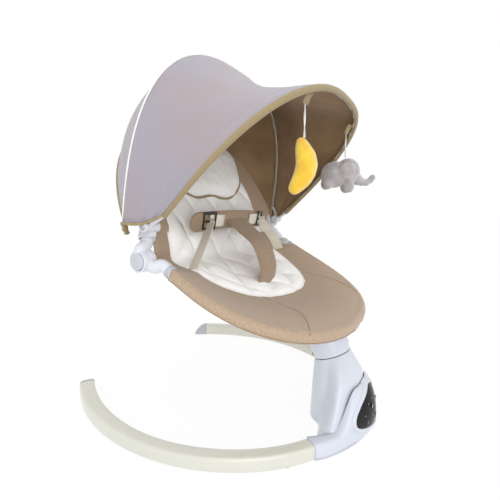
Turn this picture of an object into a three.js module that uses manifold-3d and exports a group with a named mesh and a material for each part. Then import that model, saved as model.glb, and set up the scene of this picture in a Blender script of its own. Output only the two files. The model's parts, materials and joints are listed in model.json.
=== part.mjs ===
// Baby swing: an open oval floor ring with a front housing, a tilted neck that the seat swings on,
// a reclining hammock seat between two tube hoops, and a folding canopy with two hanging toys.
// Millimetres, +Z up, the foot end and the control panel face -Y, left is -X, right is +X.
import * as THREE from 'three';
import { mergeVertices } from 'three/addons/utils/BufferGeometryUtils.js';
import Module from 'manifold-3d';

const wasm = await Module();
wasm.setup();

// ---- driving dimensions -------------------------------------------------------------------------
const gap = 0.3;                  // clearance between pieces that touch
const softGap = 0.6;              // clearance between fabric pieces
const seatPadGap = 3.2;           // clearance under the seat pad, whose facets differ from the sling's
const backPadGap = 1.8;           // and under the flatter back pad

const ringHalfWidth = 270;        // floor ring, outer edge, along X
const ringHalfLength = 326.7;     // floor ring, outer edge, along Y
const ringCentreY = 88;
const legWidth = 24.7;
const legHeight = 25;
const legEdge = 6;
const legWall = 2;
const padHeight = 1.4;            // rubber pads lift the ring off the floor
const legEndAngle = 38;           // ring angle where a leg stops and its end cap starts
const capLength = 34;
const jointAngle = -61.3;         // ring angle where a leg meets the housing
const lockAngle = -31.6;          // ring angle of the leg lock button
const lockRadius = 5.5;
const lockTravel = 3;

const seatRimHeight = 282;        // height of the seat hoop's centre line beside the middle of the seat
const neckSetback = 58.7;         // seam between housing and neck, behind the ring's front
const neckShare = 0.7;            // it rises by this share of the seat rim's height
const neckRoom = 73.4;            // less the room that the neck and bracket take
const neckY = ringCentreY - ringHalfLength + neckSetback;
const neckZ = seatRimHeight * neckShare - neckRoom;
const neckRadius = 34;
const neckTilt = 21.2;            // degrees, the swing axis leans back from vertical
const neckHeight = 36;
const shellWall = 2.6;
const columnRearFlare = 8;         // extra half width of the column's foot, behind
const columnFrontFlare = 84;       // and in front, where it runs out into the legs
const columnReach = 43;            // how far the column's foot runs forward

const noseReach = 18;             // how far the front cover bulges past the ring
const noseBelly = 7;              // extra bulge of its middle
const nosePower = 1.7;            // section of its middle, from 1 for a slope to 2 for a round
const noseHeight = neckZ - 40;
const noseArchInner = 0.26;        // the cover's top edge arches up between these shares of its span
const noseArchOuter = 0.68;
const ridgeReach = 10.5;           // the arch's top stands this far outside the ring's centre line
const panelHeight = noseHeight - 10;
const panelHalfWidth = 62;
const panelThickness = 2.4;
const panelBottom = 12;
const keyRadius = 5;
const keyTravel = 1;

const seatTubeRadius = 8;
const hemWall = 2.4;              // fabric sleeve round the tubes
const clothThickness = 4;
const seatHalfWidth = 222;        // tube centre line
const seatCentreY = neckY + 150;
const seatHalfLength = 188;
const seatPower = 2.3;
const seatSlope = 0.523;
const seatCurl = 0.000467;
const seatSag = 44;
const insertThickness = 10;

const hubX = 240;                 // centre of the recline hub, from the middle plane
const hubY = seatCentreY + 88;
const hubZ = seatRimHeight + 29;
const hubRadius = 17.5;
const hubHalf = 15;
const hubButtonRadius = 14;
const hubButtonTravel = 3;
const armRadius = 10.6;
const armWall = 2.2;

const backRise = 250;             // tube centre line, from the hub to the top of the backrest
const backLean = 108;
const backBend = 1.4;
const backHalfWidth = 214;
const backPower = 2.4;
const backSag = 26;
const pillowThickness = 16;

const pivotY = hubY - 8;          // canopy hinge
const pivotZ = hubZ + 53;
const pivotX = 226;
const pivotRadius = 9;
const bowRadius = 3.2;
const frontBow = { y: pivotY - 28, z: pivotZ + 16, angle: 42.4, halfWidth: 219, length: 288, power: 2.76 };
const mainBow = { y: pivotY + 30, z: pivotZ + 2, angle: 80.6, halfWidth: 245, length: 300, power: 2.75 };
const canopyCloth = 2.4;
const canopyDip = 26;
const bowWrap = 1.25;             // the fabric leaves a bow at a slant, so it stands this much further out

const toyX = 112;
const tabBehind = 17;             // the toy tabs hang this far behind the front bow
const tabLength = 19;
const tabInto = 5;                // and are sewn this far into the canopy's fabric
const toyCord = 1.2;
const toyCordLength = 46;

// ---- materials ----------------------------------------------------------------------------------
const finish = (color, roughness, metalness = 0) =>
  () => new THREE.MeshStandardMaterial({ color, roughness, metalness });
const ivoryPlastic = finish('#e3e4de', 0.3);
const whitePlastic = finish('#e4e8ef', 0.35);
const greyPlastic = finish('#b0b2ba', 0.4);
const blackGloss = finish('#15151a', 0.08);
const blackPlastic = finish('#1e1e1c', 0.5);
const rubber = finish('#2c2c2e', 0.85);
const steel = finish('#b9bcc0', 0.35, 1);
const paintedTube = finish('#dfe1e4', 0.4);
const linen = finish('#b39d86', 0.9);
const quilt = finish('#ebebe8', 0.9);
const webbing = finish('#c6c0b0', 0.85);
const strapPad = finish('#aa8f76', 0.9);
const canopyOutside = finish('#c0bac6', 0.9);
const binding = finish('#9e8e6a', 0.85);
const board = finish('#2f6b3f', 0.5);
const copper = finish('#b4713a', 0.4, 1);
const magnetGrey = finish('#55575c', 0.4, 0.8);
const yellowPlush = finish('#f3d53c', 0.95);
const greyPlush = finish('#aeaaad', 0.95);
const cordWhite = finish('#eeeeea', 0.8);

// ---- helpers ------------------------------------------------------------------------------------
const rad = THREE.MathUtils.degToRad;
const vec = (x, y, z) => new THREE.Vector3(x, y, z);
const swing = new THREE.Group();

function place(name, geometry, look) {
  const mesh = new THREE.Mesh(geometry, look());
  mesh.name = name;
  swing.add(mesh);
  return mesh;
}

const sides = [['left', -1], ['right', 1]];
const smooth = (a, b, v) => THREE.MathUtils.smoothstep(v, a, b);

// Closed solid through rings of equally many points, with flat ends.
function loft(rings) {
  const n = rings[0].length;
  const points = rings.flat();
  const first = rings[0];
  const last = rings[rings.length - 1];
  const middle = (ring) => ring.reduce((sum, p) => sum.add(p), vec(0, 0, 0)).divideScalar(n);
  points.push(middle(first), middle(last));
  const faces = [];
  for (let r = 0; r + 1 < rings.length; r += 1) {
    for (let i = 0; i < n; i += 1) {
      const j = (i + 1) % n;
      const a = r * n + i;
      const b = r * n + j;
      faces.push(a, b, b + n, a, b + n, a + n);
    }
  }
  const end = points.length - 1;
  const top = (rings.length - 1) * n;
  for (let i = 0; i < n; i += 1) {
    const j = (i + 1) % n;
    faces.push(end - 1, j, i, end, top + i, top + j);
  }
  return outward(fromLists(points, faces));
}

function fromLists(points, faces) {
  const geometry = new THREE.BufferGeometry();
  geometry.setAttribute('position', new THREE.Float32BufferAttribute(points.flatMap((p) => p.toArray()), 3));
  geometry.setIndex(faces);
  return geometry;
}

function volume(geometry) {
  const p = geometry.getAttribute('position');
  const index = geometry.getIndex();
  const [a, b, c] = [vec(0, 0, 0), vec(0, 0, 0), vec(0, 0, 0)];
  let sum = 0;
  for (let i = 0; i < index.count; i += 3) {
    a.fromBufferAttribute(p, index.getX(i));
    b.fromBufferAttribute(p, index.getX(i + 1));
    c.fromBufferAttribute(p, index.getX(i + 2));
    sum += a.dot(b.cross(c)) / 6;
  }
  return sum;
}

// Turns a closed surface so that its faces point out.
function outward(geometry) {
  if (volume(geometry) > 0) return geometry;
  const list = Array.from(geometry.getIndex().array);
  for (let i = 0; i < list.length; i += 3) [list[i + 1], list[i + 2]] = [list[i + 2], list[i + 1]];
  geometry.setIndex(list);
  return geometry;
}

function welded(geometry) {
  const copy = geometry.clone();
  copy.deleteAttribute('normal');
  copy.deleteAttribute('uv');
  return mergeVertices(copy, 1e-3);
}

function toSolid(geometry) {
  const g = welded(geometry);
  const vertProperties = new Float32Array(g.getAttribute('position').array);
  const triVerts = new Uint32Array(g.getIndex().array);
  return new wasm.Manifold(new wasm.Mesh({ numProp: 3, vertProperties, triVerts }));
}

function fromSolid(solid) {
  const mesh = solid.getMesh();
  const geometry = new THREE.BufferGeometry();
  geometry.setAttribute('position', new THREE.Float32BufferAttribute(mesh.vertProperties, 3));
  geometry.setIndex(Array.from(mesh.triVerts));
  return geometry;
}

const cut = (geometry, ...tools) =>
  fromSolid(tools.reduce((solid, tool) => solid.subtract(toSolid(tool)), toSolid(geometry)));
const join = (geometry, ...others) =>
  fromSolid(others.reduce((solid, other) => solid.add(toSolid(other)), toSolid(geometry)));

// Tube or bar along a curve.
function sweep(curve, shape, steps) {
  const options = { steps, bevelEnabled: false, extrudePath: curve };
  return outward(welded(new THREE.ExtrudeGeometry(shape, options)));
}

function circle(radius, count = 12, x = 0, y = 0) {
  const shape = new THREE.Shape();
  for (let i = 0; i < count; i += 1) {
    const a = (2 * Math.PI * i) / count;
    const at = [x + radius * Math.cos(a), y + radius * Math.sin(a)];
    if (i) shape.lineTo(...at);
    else shape.moveTo(...at);
  }
  shape.closePath();
  return shape;
}

function roundedBar(height, width, edge) {
  const h = height / 2;
  const w = width / 2;
  const shape = new THREE.Shape();
  shape.moveTo(-h + edge, -w);
  shape.lineTo(h - edge, -w);
  shape.quadraticCurveTo(h, -w, h, -w + edge);
  shape.lineTo(h, w - edge);
  shape.quadraticCurveTo(h, w, h - edge, w);
  shape.lineTo(-h + edge, w);
  shape.quadraticCurveTo(-h, w, -h, w - edge);
  shape.lineTo(-h, -w + edge);
  shape.quadraticCurveTo(-h, -w, -h + edge, -w);
  return new THREE.Shape(shape.getPoints(2));
}

// Cylinder, cone or ring between two heights on an axis through a point.
function turned(profile, at, axis, count = 16) {
  const geometry = new THREE.LatheGeometry(profile.map(([r, h]) => new THREE.Vector2(r, h)), count);
  const turn = new THREE.Quaternion().setFromUnitVectors(vec(0, 1, 0), axis.clone().normalize());
  geometry.applyQuaternion(turn);
  geometry.translate(at.x, at.y, at.z);
  return outward(welded(geometry));
}

const disc = (radius, from, to, at, axis, count = 16) =>
  turned([[0, from], [radius, from], [radius, to], [0, to]], at, axis, count);
const collar = (inner, outer, from, to, at, axis, count = 16) =>
  turned([[inner, from], [outer, from], [outer, to], [inner, to], [inner, from]], at, axis, count);

function box(size, at, turnX = 0) {
  const geometry = new THREE.BoxGeometry(...size);
  geometry.rotateX(turnX);
  geometry.translate(...at);
  return welded(geometry);
}

class Path extends THREE.Curve {
  constructor(pointAt) {
    super();
    this.pointAt = pointAt;
  }

  getPoint(t) {
    return this.pointAt(t);
  }

  // Even steps of the parameter, so that a tube and its bore share their stations.
  getUtoTmapping(u) {
    return u;
  }
}

const superPower = (value, power) => Math.sign(value) * Math.abs(value) ** (2 / power);

// ---- floor ring ---------------------------------------------------------------------------------
const legMidX = ringHalfWidth - legWidth / 2;
const legMidY = ringHalfLength - legWidth / 2;
const legMidZ = padHeight + legHeight / 2;

function onRing(angle, side, z = legMidZ, outset = 0) {
  const a = rad(angle);
  const out = vec(legMidY * Math.cos(a), legMidX * Math.sin(a), 0).setLength(outset);
  return vec(side * (legMidX * Math.cos(a) + out.x), ringCentreY + legMidY * Math.sin(a) + out.y, z);
}

function ringTangent(angle, side) {
  const a = rad(angle);
  return vec(-side * legMidX * Math.sin(a), legMidY * Math.cos(a), 0).normalize();
}

const ringPath = (from, to, side) =>
  new Path((t) => onRing(THREE.MathUtils.lerp(from, to, t), side));

function legBar(shrink) {
  return roundedBar(legHeight - 2 * shrink, legWidth - 2 * shrink, Math.max(legEdge - shrink, 1));
}

const seamSlack = rad(0.06);
const barSlack = 0.9;             // the chassis bar slides into the legs with this play

function addLegs() {
  const hollow = legBar(0);
  hollow.holes.push(legBar(legWall));
  for (const [name, side] of sides) {
    const legStart = jointAngle + THREE.MathUtils.radToDeg(seamSlack);
    const tube = sweep(ringPath(legStart, legEndAngle, side), hollow, 14);
    const into = lockAxis(side);
    const hole = disc(lockRadius + gap, -legWidth, 0, onRing(lockAngle, side), into, 16);
    place(`leg_${name}`, cut(tube, hole), ivoryPlastic);
    place(`leg_end_cap_${name}`, endCap(side), greyPlastic);
    place(`leg_lock_button_${name}`, lockButton(side, into), rubber);
  }
}

// Plug and tapering toe that closes a leg and slopes down to the floor.
function endCap(side) {
  const start = onRing(legEndAngle, side);
  const along = ringTangent(legEndAngle, side);
  const across = along.clone().cross(vec(0, 0, 1));
  const section = (reach, shrink, drop) => {
    const height = (legHeight - 2 * shrink) * (1 - drop);
    const width = legWidth - 2 * shrink;
    const edge = Math.min(Math.max(legEdge - shrink, 1), height / 3);
    const bottom = padHeight + shrink;
    return roundedBar(height, width * (1 - 0.35 * drop), edge).getPoints().map((p) => start.clone()
      .addScaledVector(along, reach)
      .addScaledVector(across, p.y)
      .setZ(bottom + height / 2 + p.x));
  };
  const inside = legWall + 3 * gap;
  const toe = [gap, capLength * 0.35, capLength * 0.65, capLength * 0.88, capLength];
  const drops = [0, 0.08, 0.28, 0.52, 0.74];
  const rings = [section(-10, inside, 0), section(gap, inside, 0)];
  toe.forEach((reach, i) => rings.push(section(reach + (i ? 0 : 0.01), 0, drops[i])));
  return loft(rings.map((ring) => ring.slice(0, -1)));
}

function lockButton(side, into) {
  const at = onRing(lockAngle, side);
  const face = legWidth / 2;
  const seat = face - legWall - gap;
  const profile = [[0, -seat + 6], [lockRadius + 1.6, -seat + 6], [lockRadius + 1.6, -seat]];
  profile.push([lockRadius, -seat], [lockRadius, -face - 0.6]);
  profile.push([lockRadius - 1.2, -face - 1.6], [0, -face - 1.6]);
  return turned(profile, at, into, 16);
}

// ---- housing ------------------------------------------------------------------------------------
const swingAxis = vec(0, Math.sin(rad(neckTilt)), Math.cos(rad(neckTilt)));
const seamCentre = vec(0, neckY, neckZ);
const alongAxis = (s) => seamCentre.clone().addScaledVector(swingAxis, s);

// Column section at a fraction of its height; the top one lies in the tilted seam plane.
function columnRing(f, wall, count) {
  const drop = Math.max(1 - f, 0);
  const rearWidth = neckRadius + columnRearFlare * drop;
  const frontWidth = neckRadius + columnFrontFlare * drop;
  const tilt = rad(neckTilt) * f;
  const centre = vec(0, neckY, padHeight + (neckZ - padHeight) * f);
  const ring = [];
  for (let i = 0; i < count; i += 1) {
    const a = (2 * Math.PI * i) / count;
    const front = smooth(0, 0.6, -Math.sin(a));
    const x = Math.cos(a) * (rearWidth + (frontWidth - rearWidth) * front - wall);
    const depth = Math.sin(a) < 0 ? neckRadius + columnReach * drop ** 1.2 : neckRadius + 3 * drop;
    const y = (depth - wall) * Math.sin(a);
    ring.push(vec(x, y * Math.cos(tilt), -y * Math.sin(tilt)).add(centre));
  }
  return ring;
}

const columnSides = 24;

function columnBody(wall, from, to, count = columnSides, levels = 5) {
  const rings = [];
  for (let i = 0; i <= levels; i += 1) rings.push(columnRing(from + ((to - from) * i) / levels, wall, count));
  return loft(rings);
}

const coverStations = 20;
const jointSpan = 90 + jointAngle;

// One station of the front cover, u from -1 at the left leg to 1 at the right leg.
function coverStation(u) {
  const angle = -90 + u * jointSpan;
  const rise = smooth(-noseArchOuter, -noseArchInner, -Math.abs(u));
  const height = legHeight + (noseHeight - legHeight) * rise;
  const bump = noseReach * (1.05 - Math.sqrt(u * u + 0.0025)) * smooth(-1, -0.9, -Math.abs(u));
  const low = onRing(angle, 1, padHeight, legWidth / 2 + bump);
  const high = onRing(angle, 1, padHeight + height, ridgeReach - (ridgeReach + legWidth / 2) * u * u);
  const belly = noseBelly * Math.max(1 - (u / 0.42) ** 2, 0) ** 1.5;
  return { low, high, belly, power: THREE.MathUtils.lerp(5, nosePower, rise), out: ringNormal(angle) };
}

function ringNormal(angle) {
  const along = ringTangent(angle, 1);
  return vec(along.y, -along.x, 0);
}

function coverPoint(u, v, inset) {
  const { low, high, belly, power, out } = coverStation(u);
  const b = (v * Math.PI) / 2;
  const back = 1 - superPower(Math.cos(b), power);
  const up = superPower(Math.sin(b), power);
  const point = low.clone().addScaledVector(out, -inset).lerp(high, back);
  point.addScaledVector(out, belly * Math.sin(Math.PI * v ** 0.8));
  return point.setZ(THREE.MathUtils.lerp(padHeight, high.z - inset, up));
}

function frontCoverSolid() {
  const rows = 6;
  const rings = [];
  for (let i = 0; i <= coverStations; i += 1) {
    const u = -1 + (2 * i) / coverStations;
    const ring = [];
    for (let j = 0; j <= rows; j += 1) ring.push(coverPoint(u, j / rows, 0));
    for (let j = rows; j >= 0; j -= 1) ring.push(coverPoint(u, j / rows, shellWall));
    rings.push(ring);
  }
  return loft(rings);
}

// Half width and height of the teardrop outline, 0 at the bottom and pi at the tip.
function teardrop(angle, grow = 0) {
  const pinch = (1 + Math.cos(angle)) / 2;
  const half = (panelHalfWidth + grow) * Math.sin(angle) * (0.62 + 0.38 * pinch);
  const up = (panelHeight / 2 + grow) * -Math.cos(angle);
  return [half, panelBottom + panelHeight / 2 + up];
}

// Point of the cover's face at a given x and z, moved forward by out.
function noseSurface(x, z, out) {
  const u = THREE.MathUtils.radToDeg(Math.asin(x / (legMidX + ridgeReach))) / jointSpan;
  const { high, power } = coverStation(u);
  const up = THREE.MathUtils.clamp((z - padHeight) / (high.z - padHeight), 0, 1);
  const v = Math.asin(up ** (power / 2)) * (2 / Math.PI);
  return vec(x, coverPoint(u, v, 0).y - out, z);
}

function panelSolid(grow, from, to) {
  const count = 24;
  const rings = [from, to].map((out) => {
    const ring = [];
    for (let i = 0; i < count; i += 1) {
      const [half, z] = teardrop((2 * Math.PI * i) / count, grow);
      ring.push(noseSurface(half, z, out));
    }
    return ring;
  });
  const centres = [from, to].map((out) => noseSurface(0, panelBottom + panelHeight * 0.45, out));
  return crowned(rings, centres, 3, (p, k) => noseSurface(p.x, p.z, k > 0 ? to : from));
}

// Two outlines joined by a wall, each closed by a dome of nested outlines towards its centre.
function crowned([low, high], [lowCentre, highCentre], shells = 3, lift = null) {
  const n = low.length;
  const points = [];
  const faces = [];
  const layer = (outline, centre, sign) => {
    const start = points.length;
    for (let s = 0; s < shells; s += 1) {
      const r = 1 - s / shells;
      for (const p of outline) {
        const q = centre.clone().lerp(p, r);
        points.push(lift ? lift(q, sign) : q);
      }
    }
    points.push(lift ? lift(centre.clone(), sign) : centre.clone());
    for (let s = 0; s + 1 < shells; s += 1) {
      for (let i = 0; i < n; i += 1) {
        const j = (i + 1) % n;
        const a = start + s * n + i;
        const b = start + s * n + j;
        faces.push(...(sign > 0 ? [a, b, b + n, a, b + n, a + n] : [a, b + n, b, a, a + n, b + n]));
      }
    }
    const tip = points.length - 1;
    const last = start + (shells - 1) * n;
    for (let i = 0; i < n; i += 1) {
      const j = (i + 1) % n;
      faces.push(...(sign > 0 ? [last + i, last + j, tip] : [last + j, last + i, tip]));
    }
    return start;
  };
  const bottom = layer(low, lowCentre, -1);
  const top = layer(high, highCentre, 1);
  for (let i = 0; i < n; i += 1) {
    const j = (i + 1) % n;
    faces.push(bottom + i, bottom + j, top + j, bottom + i, top + j, top + i);
  }
  return outward(fromLists(points, faces));
}

const panelSink = 1.2;            // the panel's face lies this far behind the cover's face
const keyRow = noseHeight * 0.6;
const keyPlaces = { power: [0, noseHeight / 3], speed: [-14, keyRow], music: [14, keyRow] };
const outFace = vec(0, -1, 0);
const boardFace = 11;              // the circuit board lies this far behind the cover's face
const boardSize = [32, 1.6, 34];
const boardZ = noseHeight * 0.46;
const boardPosts = [[-13, boardZ - 6], [13, boardZ - 6]];

function lockAxis(side) {
  return ringTangent(lockAngle, side).cross(vec(0, 0, side)).normalize();
}

// Bar round the front of the ring, from one side to the other.
const ringBar = (end, shape) => sweep(ringPath(-180 - end, end, 1), shape, 20);

function addHousing() {
  const bar = ringBar(lockAngle - 5, legBar(legWall + barSlack));
  place('chassis_bar', bar, whitePlastic);
  const barRoom = ringBar(lockAngle, legBar(legWall + barSlack - 2 * gap));

  const window = panelSolid(gap, -shellWall - 6, 9);
  const boardY = -noseSurface(0, boardPosts[0][1], 0).y - boardFace;
  place('front_cover', cut(frontCoverSolid(), window, barRoom), whitePlastic);

  const keys = Object.entries(keyPlaces);
  const keyHole = ([, [x, z]]) => disc(keyRadius + gap, -30, 30, noseSurface(x, z, 0), outFace, 16);
  const panel = panelSolid(0, -panelSink - panelThickness, -panelSink);
  const posts = boardPosts.map(([x, z]) => disc(2, boardY + 0.8 + gap, boardY + 7, vec(x, 0, z), outFace, 8));
  place('control_panel', join(cut(panel, ...keys.map(keyHole)), ...posts), blackGloss);
  for (const [name, [x, z]] of keys) {
    const at = noseSurface(x, z, -panelSink);
    place(`key_${name}`, disc(keyRadius, -panelThickness - 1.2, 0.7, at, outFace, 16), blackGloss);
  }
  place('circuit_board', box(boardSize, [0, -boardY, boardZ]), board);

  const hollow = columnBody(shellWall, -0.05, 1.05);
  const socketHole = disc(socketRadius + gap, -12, 12, socketAt(), vec(0, 1, 0), 16);
  const post = disc(3.6, coilReach - 2, coilReach + 25.5, armAt, rearward, 14);
  const boardRoom = box([boardSize[0] + 6, 40, boardSize[2] + 8], [0, -boardY - 10, boardZ]);
  const panelRoom = panelSolid(2 * gap, -shellWall - 6, 9);
  const rooms = [hollow, barRoom, frontCoverRoom(), socketHole, boardRoom, panelRoom];
  const column = cut(columnBody(0, 0, 1), ...rooms);
  place('column_shell', join(column, post), whitePlastic);
  place('base_plate', cut(basePlate(), barRoom), greyPlastic);
  place('dc_socket', socket(), blackPlastic);
  addFeet();
}

const socketRadius = 5.5;
const socketZ = 24;

function socketAt() {
  const f = (socketZ - padHeight) / (neckZ - padHeight);
  return columnRing(f, 0, 4)[1];
}

function socket() {
  const profile = [[0, -9], [socketRadius, -9], [socketRadius, 0.8], [2.6, 0.8], [2.6, -6], [0, -6]];
  return turned(profile, socketAt(), vec(0, 1, 0), 16);
}

// The space that the front cover and its running gap take out of the column.
const roomReach = 1.04;           // the room behind the cover runs this far past its ends
const roomDepth = 60;             // and this far forward

function frontCoverRoom() {
  const rows = 6;
  const rings = [];
  const inset = shellWall + 3 * gap;
  for (let i = -1; i <= coverStations + 1; i += 1) {
    const u = THREE.MathUtils.clamp(-1 + (2 * i) / coverStations, -roomReach, roomReach);
    const { low, high, out } = coverStation(u);
    const ring = [low.clone().addScaledVector(out, -inset).setZ(-5)];
    for (let j = 0; j <= rows; j += 1) ring.push(coverPoint(u, j / rows, inset).addScaledVector(out, -0.01));
    ring.push(high.clone().setZ(high.z + gap).addScaledVector(out, -gap));
    ring.push(high.clone().setZ(high.z + gap).addScaledVector(out, roomDepth));
    ring.push(low.clone().setZ(-5).addScaledVector(out, roomDepth));
    rings.push(ring);
  }
  return loft(rings);
}

function basePlate() {
  const plate = loft([0.2, 2.4].map((h) => {
    const ring = columnRing(h / (neckZ - padHeight), shellWall + 4 * gap, columnSides);
    return ring.map((p) => p.setZ(padHeight + h));
  }));
  return cut(plate, frontCoverRoom());
}

function addFeet() {
  for (const [name, side] of sides) {
    for (const [end, angle] of [['front', -52], ['rear', 30]]) {
      const at = onRing(angle, side, 0);
      place(`foot_pad_${end}_${name}`, disc(8, 0, padHeight - gap, at, vec(0, 0, 1), 16), rubber);
    }
  }
}

// ---- drive: spindle on two bearings, swung by a coil and a magnet on an arm -----------------------
const spindleRadius = 7;
const bearingOuter = 12;
const bearingWidth = 8;
const armAt = alongAxis(-57);
const rearward = vec(0, Math.cos(rad(neckTilt)), -Math.sin(rad(neckTilt)));
const armLength = 22;
const magnetSize = 7;
const coilWidth = 5;
const coilReach = armLength + gap + magnetSize + 1.5 + coilWidth / 2;

function addDrive() {
  place('spindle', disc(spindleRadius, -62, 28, seamCentre, swingAxis), steel);
  for (const [name, s] of [['lower', -50], ['upper', -16]]) {
    const ring = collar(spindleRadius + gap, bearingOuter, s, s + bearingWidth, seamCentre, swingAxis);
    place(`bearing_${name}`, ring, steel);
  }
  const tube = collar(bearingOuter + gap, bearingOuter + 3.5, -51, -5, seamCentre, swingAxis);
  const web = collar(bearingOuter + 1, neckRadius - shellWall - 1.2, -9, -5, seamCentre, swingAxis);
  place('bearing_carrier', join(tube, web), whitePlastic);
  const clampRing = collar(spindleRadius + gap, spindleRadius + 5, -59.5, -54.5, seamCentre, swingAxis);
  const onArm = (reach) => armAt.clone().addScaledVector(rearward, reach).toArray();
  const beam = box([10, armLength - 9, 5], onArm(9 + (armLength - 9) / 2), -rad(neckTilt));
  place('magnet_arm', join(clampRing, beam), steel);
  const magnetAt = onArm(armLength + gap + magnetSize / 2);
  place('drive_magnet', box([14, magnetSize, 14], magnetAt, -rad(neckTilt)), magnetGrey);
  const coil = collar(4, 11, coilReach - coilWidth / 2, coilReach + coilWidth / 2, armAt, rearward);
  place('drive_coil', coil, copper);
}

// ---- neck ---------------------------------------------------------------------------------------
const bracketHalf = 28;
const latchX = 14;

function tubeFront(side = 0) {
  return seatRim(seatCentreY - seatHalfLength).setX(side);
}

function addNeck() {
  const r = neckRadius;
  const wall = 3;
  const bore = spindleRadius + gap;
  const profile = [[bore, 1], [r, 1], [r, neckHeight], [r - wall, neckHeight], [r - wall, 5], [bore, 5]];
  profile.push([bore, 1]);
  const latchDepth = 2 - Math.sqrt(r * r - latchX * latchX);
  const latchAt = alongAxis(neckHeight - 15).addScaledVector(rearward, latchDepth).setX(latchX);
  const latchRoom = box([12, 10, 26], latchAt.toArray(), -rad(neckTilt));
  place('neck_collar', cut(turned(profile, seamCentre, swingAxis, 24), latchRoom), whitePlastic);
  place('release_latch', box([11, 4, 24], latchAt.toArray(), -rad(neckTilt)), whitePlastic);
  place('seat_bracket', bracket(), whitePlastic);
}

// Saddle that carries the seat's front hoop on the neck.
function bracket() {
  const base = alongAxis(neckHeight + gap);
  const front = tubeFront();
  const reach = front.clone().sub(base).normalize();
  const upward = vec(0, reach.z, -reach.y);
  const section = (centre, direction, half) => {
    const ring = [];
    for (let i = 0; i < 16; i += 1) {
      const a = (2 * Math.PI * (i + 0.5)) / 16;
      const u = superPower(Math.cos(a), 4) * bracketHalf;
      ring.push(centre.clone().addScaledVector(direction, superPower(Math.sin(a), 4) * half).setX(u));
    }
    return ring;
  };
  const sleeve = seatTubeRadius + hemWall + softGap + gap;
  const low = section(base, rearward, neckRadius - 5);
  const end = front.clone().addScaledVector(reach, -3).addScaledVector(upward, -0.6 * sleeve);
  const high = section(end, upward, 0.7 * sleeve);
  const middle = low.map((p, i) => p.clone().lerp(high[i], 0.5));
  return cut(loft([low, middle, high]), sweep(seatPath(), circle(sleeve, 12), hoopSteps));
}

// ---- seat ---------------------------------------------------------------------------------------
const armReach = 44;              // straight run of the hoop behind its widest point

function seatRim(y) {
  const d = y - seatCentreY;
  return vec(0, y, seatRimHeight - 8 + seatSlope * d + seatCurl * d * d);
}

const hoopSteps = 28;

// Front hoop: straight sides and a superelliptic toe.
function seatPath(trim = 0) {
  const straight = 0.1;
  return new Path((t) => {
    const side = t < 0.5 ? -1 : 1;
    const u = Math.abs(2 * t - 1);
    if (u > 1 - straight) {
      const run = (u - 1 + straight) / straight;
      return seatRim(seatCentreY + (armReach - trim) * run).setX(side * seatHalfWidth);
    }
    const a = (Math.PI / 2) * (u / (1 - straight));
    const x = superPower(Math.sin(a), seatPower) * seatHalfWidth;
    const y = seatCentreY - superPower(Math.cos(a), seatPower) * seatHalfLength;
    return seatRim(y).setX(side * x);
  });
}

function seatHalfAt(y) {
  if (y >= seatCentreY) return seatHalfWidth;
  const v = Math.min((seatCentreY - y) / seatHalfLength, 1);
  return seatHalfWidth * (1 - v ** seatPower) ** (1 / seatPower);
}

const seatDeepY = 20;

// Height of the sling's upper face.
function seatFace(x, y) {
  const along = (y - seatDeepY) / (seatDeepY - (seatCentreY - seatHalfLength));
  const half = Math.max(seatHalfAt(y), 1);
  const across = 1 - Math.min(Math.abs(x) / half, 1) ** 2;
  return seatRim(y).z - seatSag * across * (1 - along * along);
}

// Soft solid: nested outlines on a lower and an upper face.
function softSolid(outline, centre, point, low, high, shells = 3) {
  const n = outline.length;
  const points = [];
  const faces = [];
  const layer = (offset, sign) => {
    const start = points.length;
    for (let s = 0; s < shells; s += 1) {
      const r = 1 - s / shells;
      for (const [x, y] of outline) {
        const px = centre[0] + (x - centre[0]) * r;
        const py = centre[1] + (y - centre[1]) * r;
        points.push(point(px, py, offset(r)));
      }
    }
    points.push(point(centre[0], centre[1], offset(0)));
    const tip = points.length - 1;
    for (let s = 0; s < shells; s += 1) {
      for (let i = 0; i < n; i += 1) {
        const j = (i + 1) % n;
        const a = start + s * n + i;
        const b = start + s * n + j;
        const c = s + 1 < shells ? b + n : tip;
        faces.push(...(sign > 0 ? [a, b, c] : [b, a, c]));
        if (c !== tip) faces.push(...(sign > 0 ? [a, c, a + n] : [c, a, a + n]));
      }
    }
    return start;
  };
  const bottom = layer(low, -1);
  const top = layer(high, 1);
  for (let i = 0; i < n; i += 1) {
    const j = (i + 1) % n;
    faces.push(bottom + i, bottom + j, top + j, bottom + i, top + j, top + i);
  }
  return outward(fromLists(points, faces));
}

const seatPoint = (x, y, n) => vec(x, y, seatFace(x, y) + n);
const creaseY = 48;

function seatOutline(inset) {
  const outline = [];
  const count = 26;
  const path = seatPath();
  for (let i = 2; i <= count - 2; i += 1) {
    const p = path.getPoint(i / count);
    outline.push([p.x * (1 - inset / seatHalfWidth), Math.max(p.y, seatCentreY - seatHalfLength + inset)]);
  }
  for (const u of [0.8, 0.5, 0.2, -0.2, -0.5, -0.8]) {
    outline.push([seatHalfWidth * u * (1 - inset / seatHalfWidth), creaseY + 8 * (1 - u * u)]);
  }
  return outline;
}

function addSeat() {
  const tube = sweep(seatPath(), circle(seatTubeRadius, 8), hoopSteps);
  place('seat_tube', tube, paintedTube);
  const sleeve = sweep(seatPath(26), circle(seatTubeRadius + hemWall, 8), hoopSteps);
  const bore = sweep(seatPath(), circle(seatTubeRadius + gap, 8), hoopSteps);
  const half = clothThickness / 2;
  const sling = softSolid(seatOutline(0), [0, -20], seatPoint, () => -half, () => half);
  place('seat_cover', cut(join(sling, sleeve), bore), linen);
  const outline = insertOutline();
  const lift = clothThickness / 2 + seatPadGap;
  const high = (r) => lift + 2 + (insertThickness - 2) * Math.sqrt(1 - r ** 4);
  place('seat_insert', softSolid(outline, [0, -20], seatPoint, () => lift, high), quilt);
}

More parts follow.
